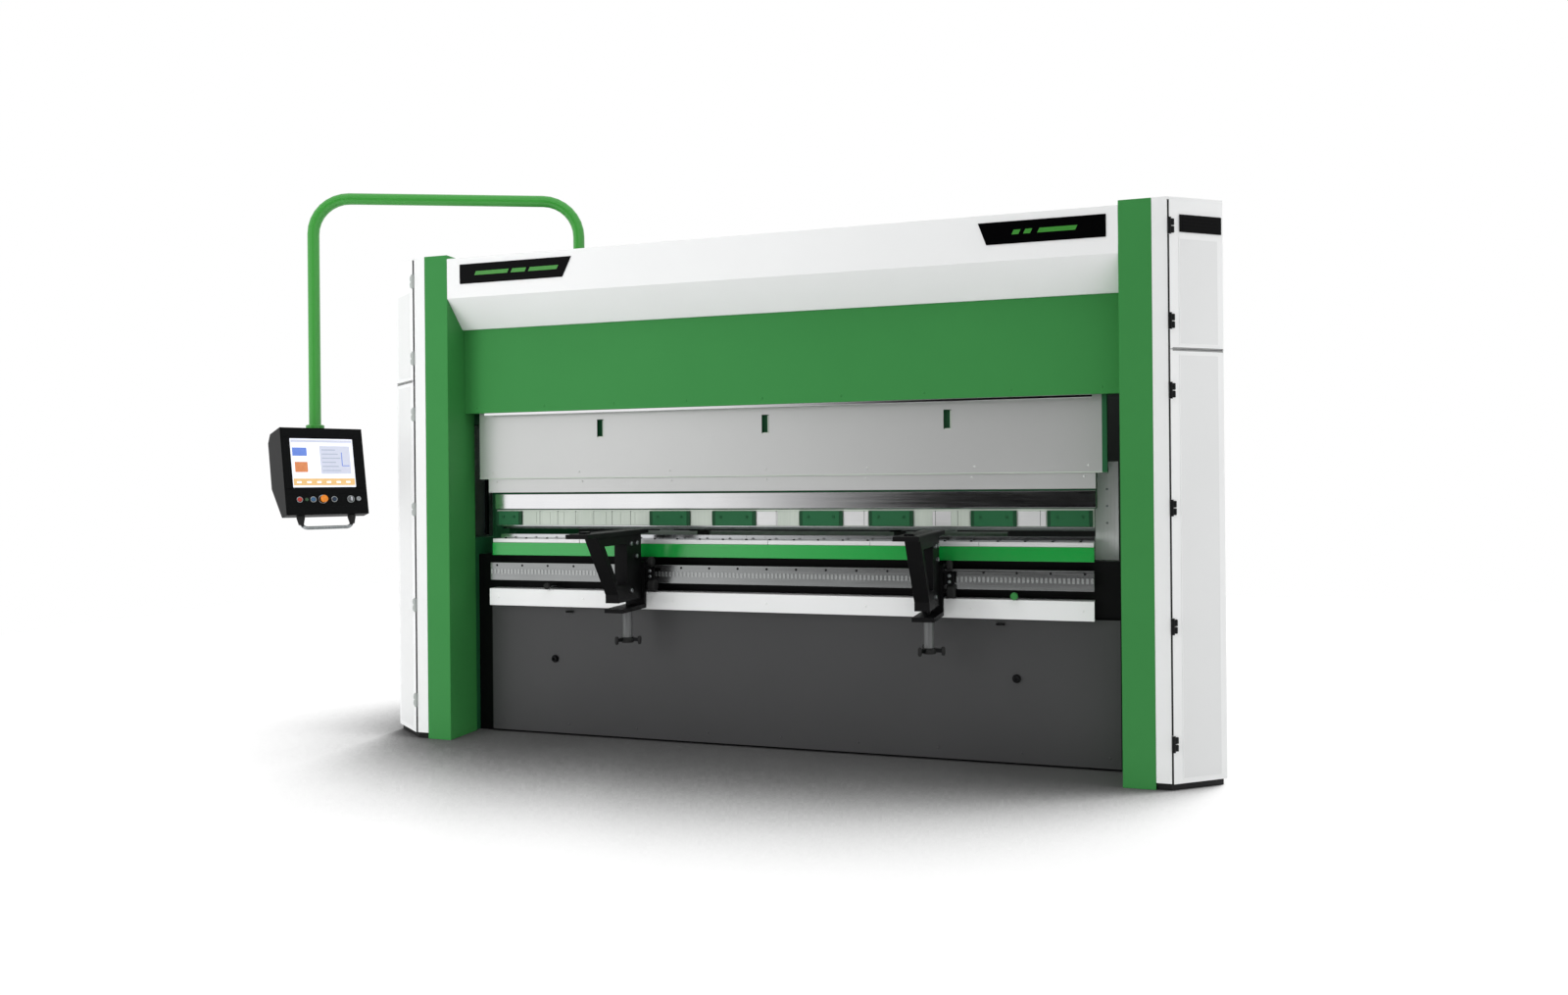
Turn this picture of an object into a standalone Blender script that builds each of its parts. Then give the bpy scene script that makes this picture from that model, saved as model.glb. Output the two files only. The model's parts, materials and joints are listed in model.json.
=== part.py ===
"""Hydraulic press brake: a fixed bed and a sliding ram between two C-frames bend sheet metal.

World axes: X along the bend line, -Y towards the operator, Z up. The origin is on the
floor under the middle of the bend line. Every size is in metres.
"""
import math

import bmesh
import bpy
from mathutils import Matrix, Vector

# Overall sizes
BENDING_LENGTH = 3.10
HEIGHT = 2.50
COLUMN_FRONT_Y = -0.33
MACHINE_REAR_Y = 1.15

# Clearances
GAP = 0.0003
RUNNING = 0.0005
CUT_PAST = 0.010

# Sheet and plate thicknesses
SHEET = 0.003
COLUMN_SHEET = 0.006
FRAME_PLATE = 0.070
BED_PLATE = 0.110
RAM_PLATE = 0.100
TIE_PLATE = 0.060

# Widths across the machine, all measured from its middle plane
TOOL_HALF = BENDING_LENGTH / 2 - 0.010
STRIP_HALF = BENDING_LENGTH / 2
RAM_HALF = BENDING_LENGTH / 2 + 0.050
COLUMN_INNER = BENDING_LENGTH / 2 + 0.106
COLUMN_WIDTH = 0.135
TRIM_WIDTH = 0.063
CHAMFER_X = 0.228
CHAMFER_Y = 0.161
FRAME_INNER = COLUMN_INNER + COLUMN_SHEET + GAP
FRAME_OUTER = FRAME_INNER + FRAME_PLATE
BEAM_HALF = FRAME_INNER - GAP
COVER_HALF = COLUMN_INNER - GAP
TRIM_OUTER = COLUMN_INNER + COLUMN_WIDTH + GAP + TRIM_WIDTH
SIDE_OUTER = TRIM_OUTER + CHAMFER_X
COLUMN_RETURN = 0.240
COLUMN_OUTER_RETURN = 0.045
POST_RETURN = 0.060
DOOR_RETURN = 0.040

# Side frames
FRAME_FRONT_Y = COLUMN_FRONT_Y + 0.050
THROAT_BOTTOM = 1.030
THROAT_TOP = 1.640
THROAT_BACK_Y = 0.360
THROAT_FILLET = 0.080
FRAME_TOP_GAP = 0.030
FRAME_SLOPE_Y = 0.250
FRAME_SLOPE_Z = 0.350

# Bed, from the floor up
APRON_FLOOR_GAP = 0.012
APRON_DEPTH = 0.025
APRON_OVERHANG_LEFT = 0.026
APRON_OVERHANG_RIGHT = 0.110
LOWER_RAIL_BOTTOM = 0.680
LOWER_RAIL_HEIGHT = 0.088
LOWER_RAIL_DEPTH = 0.090
SUPPORT_RAIL_BOTTOM = 0.812
SUPPORT_RAIL_HEIGHT = 0.092
SUPPORT_RAIL_HEAD = 0.050
SUPPORT_RAIL_WEB = 0.030
SUPPORT_RAIL_STEP = 0.022
TABLE_BOTTOM = 0.942
TABLE_THICKNESS = 0.066
TABLE_HALF_DEPTH = 0.110
DIE_HEIGHT = 0.042
DIE_OPENING = 0.016
DIE_HALF = 0.024
DIE_FOOT_HALF = 0.045
DIE_FOOT_HEIGHT = 0.018
DIE_SEAT_DEPTH = 0.004
BED_FRONT_Y = -0.050
BED_REAR_Y = BED_FRONT_Y + BED_PLATE
END_GUARD_PLATE = 0.006
END_GUARD_INSET = 0.012
TABLE_TOP = TABLE_BOTTOM + TABLE_THICKNESS
DIE_TOP = TABLE_TOP + GAP + DIE_HEIGHT

# Ram and upper tooling, from the die up
REST_OPENING = 0.028
BLADE_HEIGHT = 0.020
BLADE_HALF = 0.010
BLADE_TAPER = 0.006
TANG_HALF = 0.006
TANG_HEIGHT = 0.030
HOLDER_HEIGHT = 0.082
HOLDER_PROUD = 0.010
HOLDER_REAR_Y = 0.040
CLAMP_HEIGHT = 0.075
CLAMP_PROUD = 0.014
NOSE_BOTTOM_RISE = 0.092
NOSE_HEIGHT = 0.071
STROKE_UP = 0.231
PUNCH_TIP = DIE_TOP + REST_OPENING
HOLDER_BOTTOM = PUNCH_TIP + BLADE_HEIGHT
HOLDER_TOP = HOLDER_BOTTOM + HOLDER_HEIGHT
RAM_BOTTOM = HOLDER_TOP + GAP
NOSE_BOTTOM = RAM_BOTTOM + NOSE_BOTTOM_RISE
SKIN_BOTTOM = NOSE_BOTTOM + NOSE_HEIGHT
END_GUARD_TOP = SKIN_BOTTOM + 0.052
RAM_FRONT_Y = -RAM_PLATE / 2
SKIN_Y = -0.130
NOSE_Y = -0.125
RAM_TOP = HEIGHT - 0.550
# Tool clamps along the holder: each one's centre as a share of the half length, and its width
CLAMPS = ((-0.950, 0.152), (-0.348, 0.220), (-0.123, 0.228), (0.169, 0.217),
          (0.3935, 0.214), (0.708, 0.211), (0.9305, 0.202))
SLOT_XS = (-0.890, 0.0, 0.890)
SLOT_WIDTH = 0.037
SLOT_BOTTOM_RISE = 0.210
SLOT_HEIGHT = 0.090

# Cylinders
CYLINDER_X = BENDING_LENGTH / 2 - 0.150
CYLINDER_BOTTOM = HEIGHT - 0.620
CYLINDER_TOP = HEIGHT - 0.060
CYLINDER_RADIUS = 0.085
BORE_RADIUS = 0.060
ROD_RADIUS = 0.040
PISTON_HEIGHT = 0.040
CYLINDER_CAP = 0.040
CYLINDER_GLAND = 0.050
CYLINDER_PAD_HALF = 0.075
CYLINDER_PAD_INSET = 0.020
PISTON_TOP_ROOM = 0.015
NOTCH_HALF = 0.100
NOTCH_FLOOR = CYLINDER_BOTTOM - STROKE_UP - 0.030

# Guides that hold the ram's ends
GUIDE_BOTTOM = RAM_TOP - 0.250
GUIDE_TOP = RAM_TOP + 0.170
GUIDE_CHEEK = 0.025
GUIDE_LAP = 0.020

# Covers
COVER_TOP = HEIGHT - 0.020
COVER_KINK = HEIGHT - 0.225
COVER_BOTTOM = HEIGHT - 0.370
COVER_TOP_REAR_Y = 0.020
FRONT_COVER_BOTTOM = SKIN_BOTTOM + 0.347
FRONT_COVER_Y = -0.180
COVER_FOLD_Y = FRONT_COVER_Y - 0.015
COVER_LAP = 0.030
FLANGE = 0.030

# Tie beams and machine rear
TOP_TIE_FRONT_Y = 0.100
TOP_TIE_BOTTOM = HEIGHT - 0.350
TOP_TIE_TOP = HEIGHT - 0.100
REAR_TIE_BOTTOM = 0.250
REAR_TIE_TOP = 0.650
REAR_TIE_INSET = 0.040
REAR_GUARD_TOP = THROAT_TOP + 0.260

# Column doors and covers
DOOR_BOTTOM = 0.030
DOOR_SPLIT = HEIGHT - 0.642
DOOR_REVEAL = 0.003
DOOR_REAR_Y = 0.100
CAP_THICKNESS = 0.012
KNUCKLE_RADIUS = 0.008
KNUCKLE_HEIGHT = 0.070
LOWER_HINGES = (0.198, 0.692, 1.190, 1.684)
UPPER_HINGE_DROPS = (0.524, 0.124)
HINGE_X = TRIM_OUTER + KNUCKLE_RADIUS
HINGE_Y = COLUMN_FRONT_Y - 0.003

# Pendant arm and control panel
TUBE_RADIUS = 0.030
TUBE_BEND = 0.190
ARM_TOP = HEIGHT + 0.340
PIVOT_X = 0.410 - BENDING_LENGTH / 2
PIVOT_Y = TOP_TIE_FRONT_Y + TIE_PLATE / 2
ARM_REACH = 1.390
ARM_ANGLE = math.radians(202.5)
SOCKET_WALL = 0.022
SOCKET_HEIGHT = 0.120
SOCKET_FLOOR = 0.015
TUBE_STOP = 0.010
PANEL_TOP = HEIGHT - 0.900
PANEL_WIDTH = 0.420
PANEL_HEIGHT = 0.460
PANEL_FRONT = 0.090
PANEL_REAR = 0.100
PANEL_REAR_CORNER = 0.040
PANEL_REAR_SHARE = 0.62
PANEL_FOOT_Y = -0.020
PANEL_TILT = math.radians(12.0)
PANEL_YAW = math.radians(60.0)
COLLAR_RADIUS = 0.044
COLLAR_DEPTH = 0.040
COLLAR_SINK = 0.060
HANDLE_HALF = 0.130
HANDLE_DROP = 0.062
HANDLE_RADIUS = 0.009
HANDLE_Y = -0.055
HANDLE_BEND = 0.030
BUTTON_DROP = 0.380
BUTTON_RADIUS = 0.011
BUTTON_PROUD = 0.010
BUTTON_SEAT = 0.002
BUTTON_TRAVEL = 0.005
BUTTON_EDGE = 0.002
STOP_STEM = 0.009
STOP_TRAVEL = 0.006
STOP_NECK = 0.012
STOP_RIM = 0.022
STOP_PROUD = 0.026
START_X = -0.140
RESET_X = -0.072
STOP_X = -0.022
MODE_X = 0.035
STOP_RADIUS = 0.019
SELECTOR_X = 0.120
SELECTOR_RADIUS = 0.014
SELECTOR_PROUD = 0.014

# Front sheet supports
SUPPORT_XS = {"left": -0.680, "right": 0.820}
CARRIAGE_HALF = 0.050
CARRIAGE_FRONT_Y = -0.175
SADDLE_LAP = 0.012
SADDLE_WALL = 0.018
ARM_PLATE_TOP = 1.085
ARM_PLATE_HALF = 0.055
ARM_WEB_HALF = 0.034
ARM_PLATE_THICKNESS = 0.020
ARM_TIP_Y = -0.790
ARM_REAR_Y = -0.132
ARM_STRUT_Y = -0.660
ARM_FOOT_Y = -0.440
ARM_FOOT_HEIGHT = 0.040
STRUT_WIDTH = 0.042
WINDOW_REAR_Y = -0.340
WINDOW_MARGIN = 0.045
SCREW_Y = -0.270
SCREW_RADIUS = 0.008
SCREW_HUB_RADIUS = 0.024
SCREW_NUT_HEIGHT = 0.160
SUPPORT_FOOT_BOTTOM = 0.690
SUPPORT_FOOT_THICKNESS = 0.020
LIFT = 0.020
STAR_RADIUS = 0.066
STAR_BOTTOM = 0.535
STAR_ARM_HALF = 0.008
STAR_ARM_THICKNESS = 0.017

# Back gauge
BASE_X = 0.950
BASE_HALF = 0.060
BASE_TOP = 0.800
BASE_REAR_Y = 0.950
GAUGE_Y = 0.500
BASE_BOTTOM = 0.550
BASE_TAPER_Y = 0.250
BASE_TIP_HEIGHT = 0.080
BASE_KNEE_HEIGHT = 0.140
SADDLE_HEIGHT = 0.060
SADDLE_HALF_X = 0.050
SADDLE_HALF_Y = 0.100
CROSS_HALF_Y = 0.040
CROSS_HEIGHT = 0.080
CROSS_OVERHANG = 0.080
POST_INSET = 0.150
POST_HALF = 0.030
POST_PROUD = 0.090
BEAM_LOW = 0.990
BEAM_HIGH = 1.050
BEAM_DEPTH = 0.040
BEAM_OVERHANG = 0.150
FINGER_X = 0.550
FINGER_HALF = 0.030
FINGER_THICKNESS = 0.022
FINGER_WALL = 0.020
FINGER_TIP_Y = 0.300
FINGER_LOW = DIE_TOP + 0.005

# Hydraulic unit and cabinet
TANK_HALF = 0.550
TANK_DEPTH = 0.460
TANK_WALL = 0.004
TANK_HANG = 0.150
TANK_TOP_GAP = 0.020
PUMP_RADIUS = 0.060
PUMP_LENGTH = 0.040
MOTOR_RADIUS = 0.100
MOTOR_LENGTH = 0.360
MOTOR_SHOULDER = 0.010
MOTOR_CAP_INSET = 0.015
CABINET_DEPTH = 0.270
CABINET_YS = (0.020, 0.800)
CABINET_ZS = (0.600, 1.600)

GREEN = (0.055, 0.250, 0.075)
DARK_GREEN = (0.020, 0.120, 0.045)
BED_BLACK = (0.020, 0.022, 0.021)
WHITE = (0.850, 0.850, 0.840)
LIGHT_GREY = (0.550, 0.560, 0.550)
DARK_GREY = (0.075, 0.075, 0.075)
BLACK = (0.012, 0.012, 0.013)
STEEL = (0.500, 0.510, 0.500)
RED = (0.500, 0.020, 0.015)
ORANGE = (0.800, 0.250, 0.010)
BLUE = (0.030, 0.120, 0.350)
SIDES = (("left", -1), ("right", 1))


def clear_scene():
    for old in list(bpy.data.objects):
        bpy.data.objects.remove(old)


def material(name, colour, roughness, metallic):
    finish = bpy.data.materials.new(name)
    finish.use_nodes = True
    shader = finish.node_tree.nodes["Principled BSDF"]
    shader.inputs["Base Color"].default_value = (*colour, 1.0)
    shader.inputs["Roughness"].default_value = roughness
    shader.inputs["Metallic"].default_value = metallic
    return finish


def solid(name, mesh_data, colour, roughness=0.45, metallic=0.0):
    """Turn a bmesh into a named object with outward faces and its own material."""
    bmesh.ops.recalc_face_normals(mesh_data, faces=mesh_data.faces)
    mesh = bpy.data.meshes.new(name)
    mesh_data.to_mesh(mesh)
    mesh_data.free()
    mesh.materials.append(material(name, colour, roughness, metallic))
    made = bpy.data.objects.new(name, mesh)
    bpy.context.scene.collection.objects.link(made)
    return made


def smooth(made):
    made.data.shade_smooth()
    made.data.set_sharp_from_angle(angle=math.radians(35))
    return made


def point_on(axis, along, first, second):
    """A 3-D point from its place along an axis and the two others in X, Y, Z order."""
    if axis == "X":
        return Vector((along, first, second))
    if axis == "Y":
        return Vector((first, along, second))
    return Vector((first, second, along))


def prism(outline, axis, low, high):
    """Extrude a closed outline along one axis between two places."""
    shape = bmesh.new()
    corners = [shape.verts.new(point_on(axis, low, a, b)) for a, b in outline]
    face = shape.faces.new(corners)
    raised = bmesh.ops.extrude_face_region(shape, geom=[face])["geom"]
    moved = [part for part in raised if isinstance(part, bmesh.types.BMVert)]
    bmesh.ops.translate(shape, verts=moved, vec=point_on(axis, high - low, 0, 0))
    return shape


def box(xs, ys, zs):
    outline = [(xs[0], ys[0]), (xs[1], ys[0]), (xs[1], ys[1]), (xs[0], ys[1])]
    return prism(outline, "Z", zs[0], zs[1])


def bent(path, thickness):
    """Closed outline of a folded sheet: the path is one face, the other lies to its left."""
    inner = []
    for index, here in enumerate(path):
        here = Vector(here)
        before = Vector(path[index - 1]) if index else None
        after = Vector(path[index + 1]) if index + 1 < len(path) else None
        runs = [(b - a).normalized() for a, b in ((before, here), (here, after)) if a and b]
        lefts = [Vector((-run.y, run.x)) for run in runs]
        middle = sum(lefts, Vector((0, 0))).normalized()
        inner.append(here + middle * thickness / middle.dot(lefts[0]))
    return [tuple(p) for p in path] + [tuple(p) for p in reversed(inner)]


def mirrored(outline, side):
    return [(side * a, b) for a, b in outline]


def spun(profile, centre, segments=24, axis="Z"):
    """Turn a profile of (radius, height) about an axis through the centre."""
    shape = bmesh.new()
    rings = []
    for radius, height in profile:
        if radius == 0:
            rings.append([shape.verts.new((0, 0, height))])
            continue
        turns = [2 * math.pi * step / segments for step in range(segments)]
        ring = [shape.verts.new((radius * math.cos(t), radius * math.sin(t), height)) for t in turns]
        rings.append(ring)
    closed = rings if profile[0][0] == 0 else rings + [rings[0]]
    for low, high in zip(closed, closed[1:]):
        for step in range(segments):
            after = (step + 1) % segments
            loop = [low[step % len(low)], low[after % len(low)],
                    high[after % len(high)], high[step % len(high)]]
            shape.faces.new(list(dict.fromkeys(loop)))
    if axis == "X":
        shape.transform(Matrix.Rotation(math.pi / 2, 4, "Y"))
    shape.transform(Matrix.Translation(centre))
    return shape


def swept(path, radius, sides=16):
    """Round bar along a path that lies in one plane."""
    shape = bmesh.new()
    across = None
    for a, b, c in zip(path, path[1:], path[2:]):
        across = (b - a).cross(c - b)
        if across.length > 1e-6:
            break
    across.normalize()
    rings = []
    for index, here in enumerate(path):
        ahead = path[min(index + 1, len(path) - 1)] - here
        behind = here - path[max(index - 1, 0)]
        along = (ahead.normalized() + behind.normalized()).normalized()
        outward = along.cross(across)
        turns = [2 * math.pi * step / sides for step in range(sides)]
        ring = [shape.verts.new(here + radius * (math.cos(t) * across + math.sin(t) * outward))
                for t in turns]
        rings.append(ring)
    for low, high in zip(rings, rings[1:]):
        for step in range(sides):
            after = (step + 1) % sides
            shape.faces.new([low[step], low[after], high[after], high[step]])
    shape.faces.new(rings[0])
    shape.faces.new(rings[-1])
    return shape


def rounded_path(corners, radius, steps=8):
    """Replace each inner corner of a path with an arc of the given radius."""
    path = [corners[0]]
    for before, corner, after in zip(corners, corners[1:], corners[2:]):
        into = (corner - before).normalized()
        out = (after - corner).normalized()
        turn = into.angle(out)
        setback = radius * math.tan(turn / 2)
        centre = corner + (out - into).normalized() * radius / math.cos(turn / 2)
        start = corner - into * setback - centre
        normal = into.cross(out).normalized()
        for step in range(steps + 1):
            path.append(centre + Matrix.Rotation(turn * step / steps, 3, normal) @ start)
    path.append(corners[-1])
    return path


def combine(target, tool_shape, operation):
    """Apply one exact Boolean to a finished object."""
    tool = solid("tool", tool_shape, STEEL)
    change = target.modifiers.new("combine", "BOOLEAN")
    change.operation = operation
    change.solver = "EXACT"
    change.object = tool
    view = bpy.context.evaluated_depsgraph_get()
    made = bpy.data.meshes.new_from_object(target.evaluated_get(view))
    target.modifiers.remove(change)
    target.data = made
    bpy.data.objects.remove(tool)
    return target


def join(target, *shapes):
    for shape in shapes:
        combine(target, shape, "UNION")
    return target


def cut(target, *shapes):
    for shape in shapes:
        combine(target, shape, "DIFFERENCE")
    return target


def joint_empty(name, place, parent=None):
    """An empty on a joint's axis; the moving pieces are its children."""
    marker = bpy.data.objects.new(name, None)
    bpy.context.scene.collection.objects.link(marker)
    marker["world"] = tuple(place)
    marker.parent = parent
    marker.location = Vector(place) - (Vector(parent["world"]) if parent else Vector())
    return marker


def carry(marker, *pieces):
    for piece in pieces:
        piece.data.transform(Matrix.Translation(-Vector(marker["world"])))
        piece.parent = marker


def arc_points(centre, radius, start, stop, steps):
    return [(centre[0] + radius * math.cos(start + (stop - start) * i / steps),
             centre[1] + radius * math.sin(start + (stop - start) * i / steps))
            for i in range(steps + 1)]


def make_side_frames():
    """Thick C-shaped plates with an open throat and a sloping top rear corner."""
    top = HEIGHT - FRAME_TOP_GAP
    lower = arc_points((THROAT_BACK_Y - THROAT_FILLET, THROAT_BOTTOM + THROAT_FILLET),
                       THROAT_FILLET, -math.pi / 2, 0, 5)
    upper = arc_points((THROAT_BACK_Y - THROAT_FILLET, THROAT_TOP - THROAT_FILLET),
                       THROAT_FILLET, 0, math.pi / 2, 5)
    outline = [(MACHINE_REAR_Y, 0), (MACHINE_REAR_Y, top - FRAME_SLOPE_Z),
               (MACHINE_REAR_Y - FRAME_SLOPE_Y, top),
               (FRAME_FRONT_Y, top), (FRAME_FRONT_Y, THROAT_TOP)]
    outline += list(reversed(upper)) + list(reversed(lower))
    outline += [(FRAME_FRONT_Y, THROAT_BOTTOM), (FRAME_FRONT_Y, 0)]
    for name, side in SIDES:
        low, high = sorted((side * FRAME_INNER, side * FRAME_OUTER))
        solid("side_frame_" + name, prism(outline, "X", low, high), DARK_GREEN)


def make_columns():
    """Green front sheets, white door posts, and fixed white covers round the frames."""
    edge = COLUMN_INNER + COLUMN_WIDTH
    green = bent([(COLUMN_INNER, COLUMN_FRONT_Y + COLUMN_RETURN), (COLUMN_INNER, COLUMN_FRONT_Y),
                  (edge, COLUMN_FRONT_Y), (edge, COLUMN_FRONT_Y + COLUMN_OUTER_RETURN)], COLUMN_SHEET)
    post_inner = edge + GAP
    post_rear = COLUMN_FRONT_Y + POST_RETURN
    post = bent([(post_inner, post_rear), (post_inner, COLUMN_FRONT_Y),
                 (TRIM_OUTER, COLUMN_FRONT_Y), (TRIM_OUTER, post_rear)], SHEET)
    rear = MACHINE_REAR_Y + SHEET + GAP
    wall = bent([(SIDE_OUTER, DOOR_REAR_Y + DOOR_REVEAL), (SIDE_OUTER, rear),
                 (FRAME_OUTER - FLANGE, rear)], SHEET)
    chamfer_y = COLUMN_FRONT_Y + CHAMFER_Y
    cap_front = post_rear + 2 * RUNNING
    cap = [(FRAME_OUTER + GAP, cap_front), (TRIM_OUTER + GAP, cap_front),
           (TRIM_OUTER + GAP, COLUMN_FRONT_Y), (SIDE_OUTER, chamfer_y), (SIDE_OUTER, rear),
           (FRAME_OUTER + GAP, rear)]
    for name, side in SIDES:
        solid("column_front_" + name, prism(mirrored(green, side), "Z", 0, HEIGHT), GREEN)
        solid("column_post_" + name, prism(mirrored(post, side), "Z", DOOR_BOTTOM, HEIGHT), WHITE)
        cover = solid("side_cover_" + name,
                      prism(mirrored(wall, side), "Z", DOOR_BOTTOM, HEIGHT - CAP_THICKNESS / 2), WHITE)
        join(cover, prism(mirrored(cap, side), "Z", HEIGHT - CAP_THICKNESS, HEIGHT))


def make_doors():
    """Folded doors beside the front posts, each turning on knuckles at its front edge."""
    chamfer_y = COLUMN_FRONT_Y + CHAMFER_Y
    sheet = bent([(HINGE_X, HINGE_Y), (SIDE_OUTER, chamfer_y), (SIDE_OUTER, DOOR_REAR_Y),
                  (SIDE_OUTER - DOOR_RETURN, DOOR_REAR_Y)], SHEET)
    split = DOOR_REVEAL / 2
    upper_hinges = [HEIGHT - drop for drop in UPPER_HINGE_DROPS]
    levels = (("lower", DOOR_BOTTOM, DOOR_SPLIT - split, LOWER_HINGES),
              ("upper", DOOR_SPLIT + split, HEIGHT - CAP_THICKNESS - RUNNING, upper_hinges))
    for name, side in SIDES:
        for level, low, high, hinges in levels:
            door = solid(f"door_{level}_{name}", prism(mirrored(sheet, side), "Z", low, high), WHITE)
            for z in hinges:
                knuckle = [(0, -KNUCKLE_HEIGHT / 2), (KNUCKLE_RADIUS, -KNUCKLE_HEIGHT / 2),
                           (KNUCKLE_RADIUS, KNUCKLE_HEIGHT / 2), (0, KNUCKLE_HEIGHT / 2)]
                join(door, spun(knuckle, (side * HINGE_X, HINGE_Y, z), 16))
            pivot = joint_empty(f"door_{level}_{name}_hinge", (side * HINGE_X, HINGE_Y, low))
            carry(pivot, door)


def make_bed():
    """Bed beam with its table, die, front rails and apron."""
    bed_top = TABLE_BOTTOM - GAP
    front = BED_FRONT_Y - GAP
    solid("bed_beam", box((-BEAM_HALF, BEAM_HALF), (BED_FRONT_Y, BED_REAR_Y), (0, bed_top)),
          BED_BLACK)
    seat = DIE_FOOT_HALF + RUNNING
    seat_floor = TABLE_TOP - DIE_SEAT_DEPTH
    table = [(-TABLE_HALF_DEPTH, TABLE_BOTTOM), (TABLE_HALF_DEPTH, TABLE_BOTTOM),
             (TABLE_HALF_DEPTH, TABLE_TOP), (seat, TABLE_TOP), (seat, seat_floor),
             (-seat, seat_floor), (-seat, TABLE_TOP), (-TABLE_HALF_DEPTH, TABLE_TOP)]
    solid("table_top", prism(table, "X", -TOOL_HALF, TOOL_HALF), GREEN)
    base = seat_floor + GAP
    foot_top = TABLE_TOP + DIE_FOOT_HEIGHT
    lip = DIE_OPENING / 2
    half = [(DIE_FOOT_HALF, base), (DIE_FOOT_HALF, foot_top), (DIE_HALF, foot_top),
            (DIE_HALF, DIE_TOP), (lip, DIE_TOP), (0, DIE_TOP - DIE_OPENING / 1.6)]
    die = half + mirrored(list(reversed(half[:-1])), -1)
    solid("die", prism(die, "X", -TOOL_HALF, TOOL_HALF), STEEL, 0.3, 1.0)
    right = TOOL_HALF + APRON_OVERHANG_RIGHT
    left = -TOOL_HALF - APRON_OVERHANG_LEFT
    apron_y = front - APRON_DEPTH
    apron = bent([(right, front), (right, apron_y), (left, apron_y), (left, front)], -SHEET)
    solid("bed_apron", prism(apron, "Z", APRON_FLOOR_GAP, LOWER_RAIL_BOTTOM - GAP), DARK_GREY)
    rail_top = LOWER_RAIL_BOTTOM + LOWER_RAIL_HEIGHT
    lower = bent([(front, LOWER_RAIL_BOTTOM), (front - LOWER_RAIL_DEPTH, LOWER_RAIL_BOTTOM),
                  (front - LOWER_RAIL_DEPTH, rail_top), (front, rail_top)], -SHEET)
    solid("lower_rail", prism(lower, "X", -TOOL_HALF, TOOL_HALF), WHITE)
    low, high = SUPPORT_RAIL_BOTTOM, SUPPORT_RAIL_BOTTOM + SUPPORT_RAIL_HEIGHT
    web = front - SUPPORT_RAIL_WEB
    head = web - SUPPORT_RAIL_HEAD
    neck_low, neck_high = low + SUPPORT_RAIL_STEP, high - SUPPORT_RAIL_STEP
    rail = [(front, neck_low), (web, neck_low), (web, low), (head, low), (head, high),
            (web, high), (web, neck_high), (front, neck_high)]
    solid("support_rail", prism(rail, "X", -TOOL_HALF, TOOL_HALF), STEEL, 0.35, 1.0)
    for name, side in SIDES:
        rear = BED_REAR_Y + GAP
        low_x, high_x = sorted((side * (TOOL_HALF + RUNNING), side * (COLUMN_INNER - END_GUARD_INSET)))
        colour = LIGHT_GREY if side > 0 else DARK_GREEN
        solid("end_guard_" + name,
              box((low_x, high_x), (rear, rear + END_GUARD_PLATE), (SUPPORT_RAIL_BOTTOM, END_GUARD_TOP)),
              colour)


def make_tie_beams():
    rear_front = MACHINE_REAR_Y - REAR_TIE_INSET - TIE_PLATE
    solid("rear_tie_beam", box((-BEAM_HALF, BEAM_HALF), (rear_front, rear_front + TIE_PLATE),
                               (REAR_TIE_BOTTOM, REAR_TIE_TOP)), DARK_GREEN)
    solid("top_tie_beam", box((-BEAM_HALF, BEAM_HALF),
                              (TOP_TIE_FRONT_Y, TOP_TIE_FRONT_Y + TIE_PLATE),
                              (TOP_TIE_BOTTOM, TOP_TIE_TOP)), DARK_GREEN)
    guard_y = rear_front + TIE_PLATE / 2
    guard = bent([(guard_y + FLANGE, REAR_GUARD_TOP), (guard_y, REAR_GUARD_TOP),
                  (guard_y, REAR_TIE_TOP + GAP), (guard_y + FLANGE, REAR_TIE_TOP + GAP)], SHEET)
    solid("rear_guard", prism(guard, "X", -BEAM_HALF, BEAM_HALF), DARK_GREY)


def make_covers():
    """Folded white upper cover and the green panel that the ram slides behind."""
    upper = bent([(COVER_TOP_REAR_Y, COVER_TOP), (COLUMN_FRONT_Y, COVER_TOP),
                  (COLUMN_FRONT_Y, COVER_KINK), (COVER_FOLD_Y, COVER_BOTTOM),
                  (FRONT_COVER_Y - GAP, COVER_BOTTOM)], SHEET)
    solid("upper_cover", prism(upper, "X", -COVER_HALF, COVER_HALF), WHITE)
    panel_top = COVER_BOTTOM + COVER_LAP
    panel = bent([(FRONT_COVER_Y + FLANGE, panel_top), (FRONT_COVER_Y, panel_top),
                  (FRONT_COVER_Y, FRONT_COVER_BOTTOM),
                  (FRONT_COVER_Y + FLANGE, FRONT_COVER_BOTTOM)], SHEET)
    solid("front_cover", prism(panel, "X", -COVER_HALF, COVER_HALF), GREEN)


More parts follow.
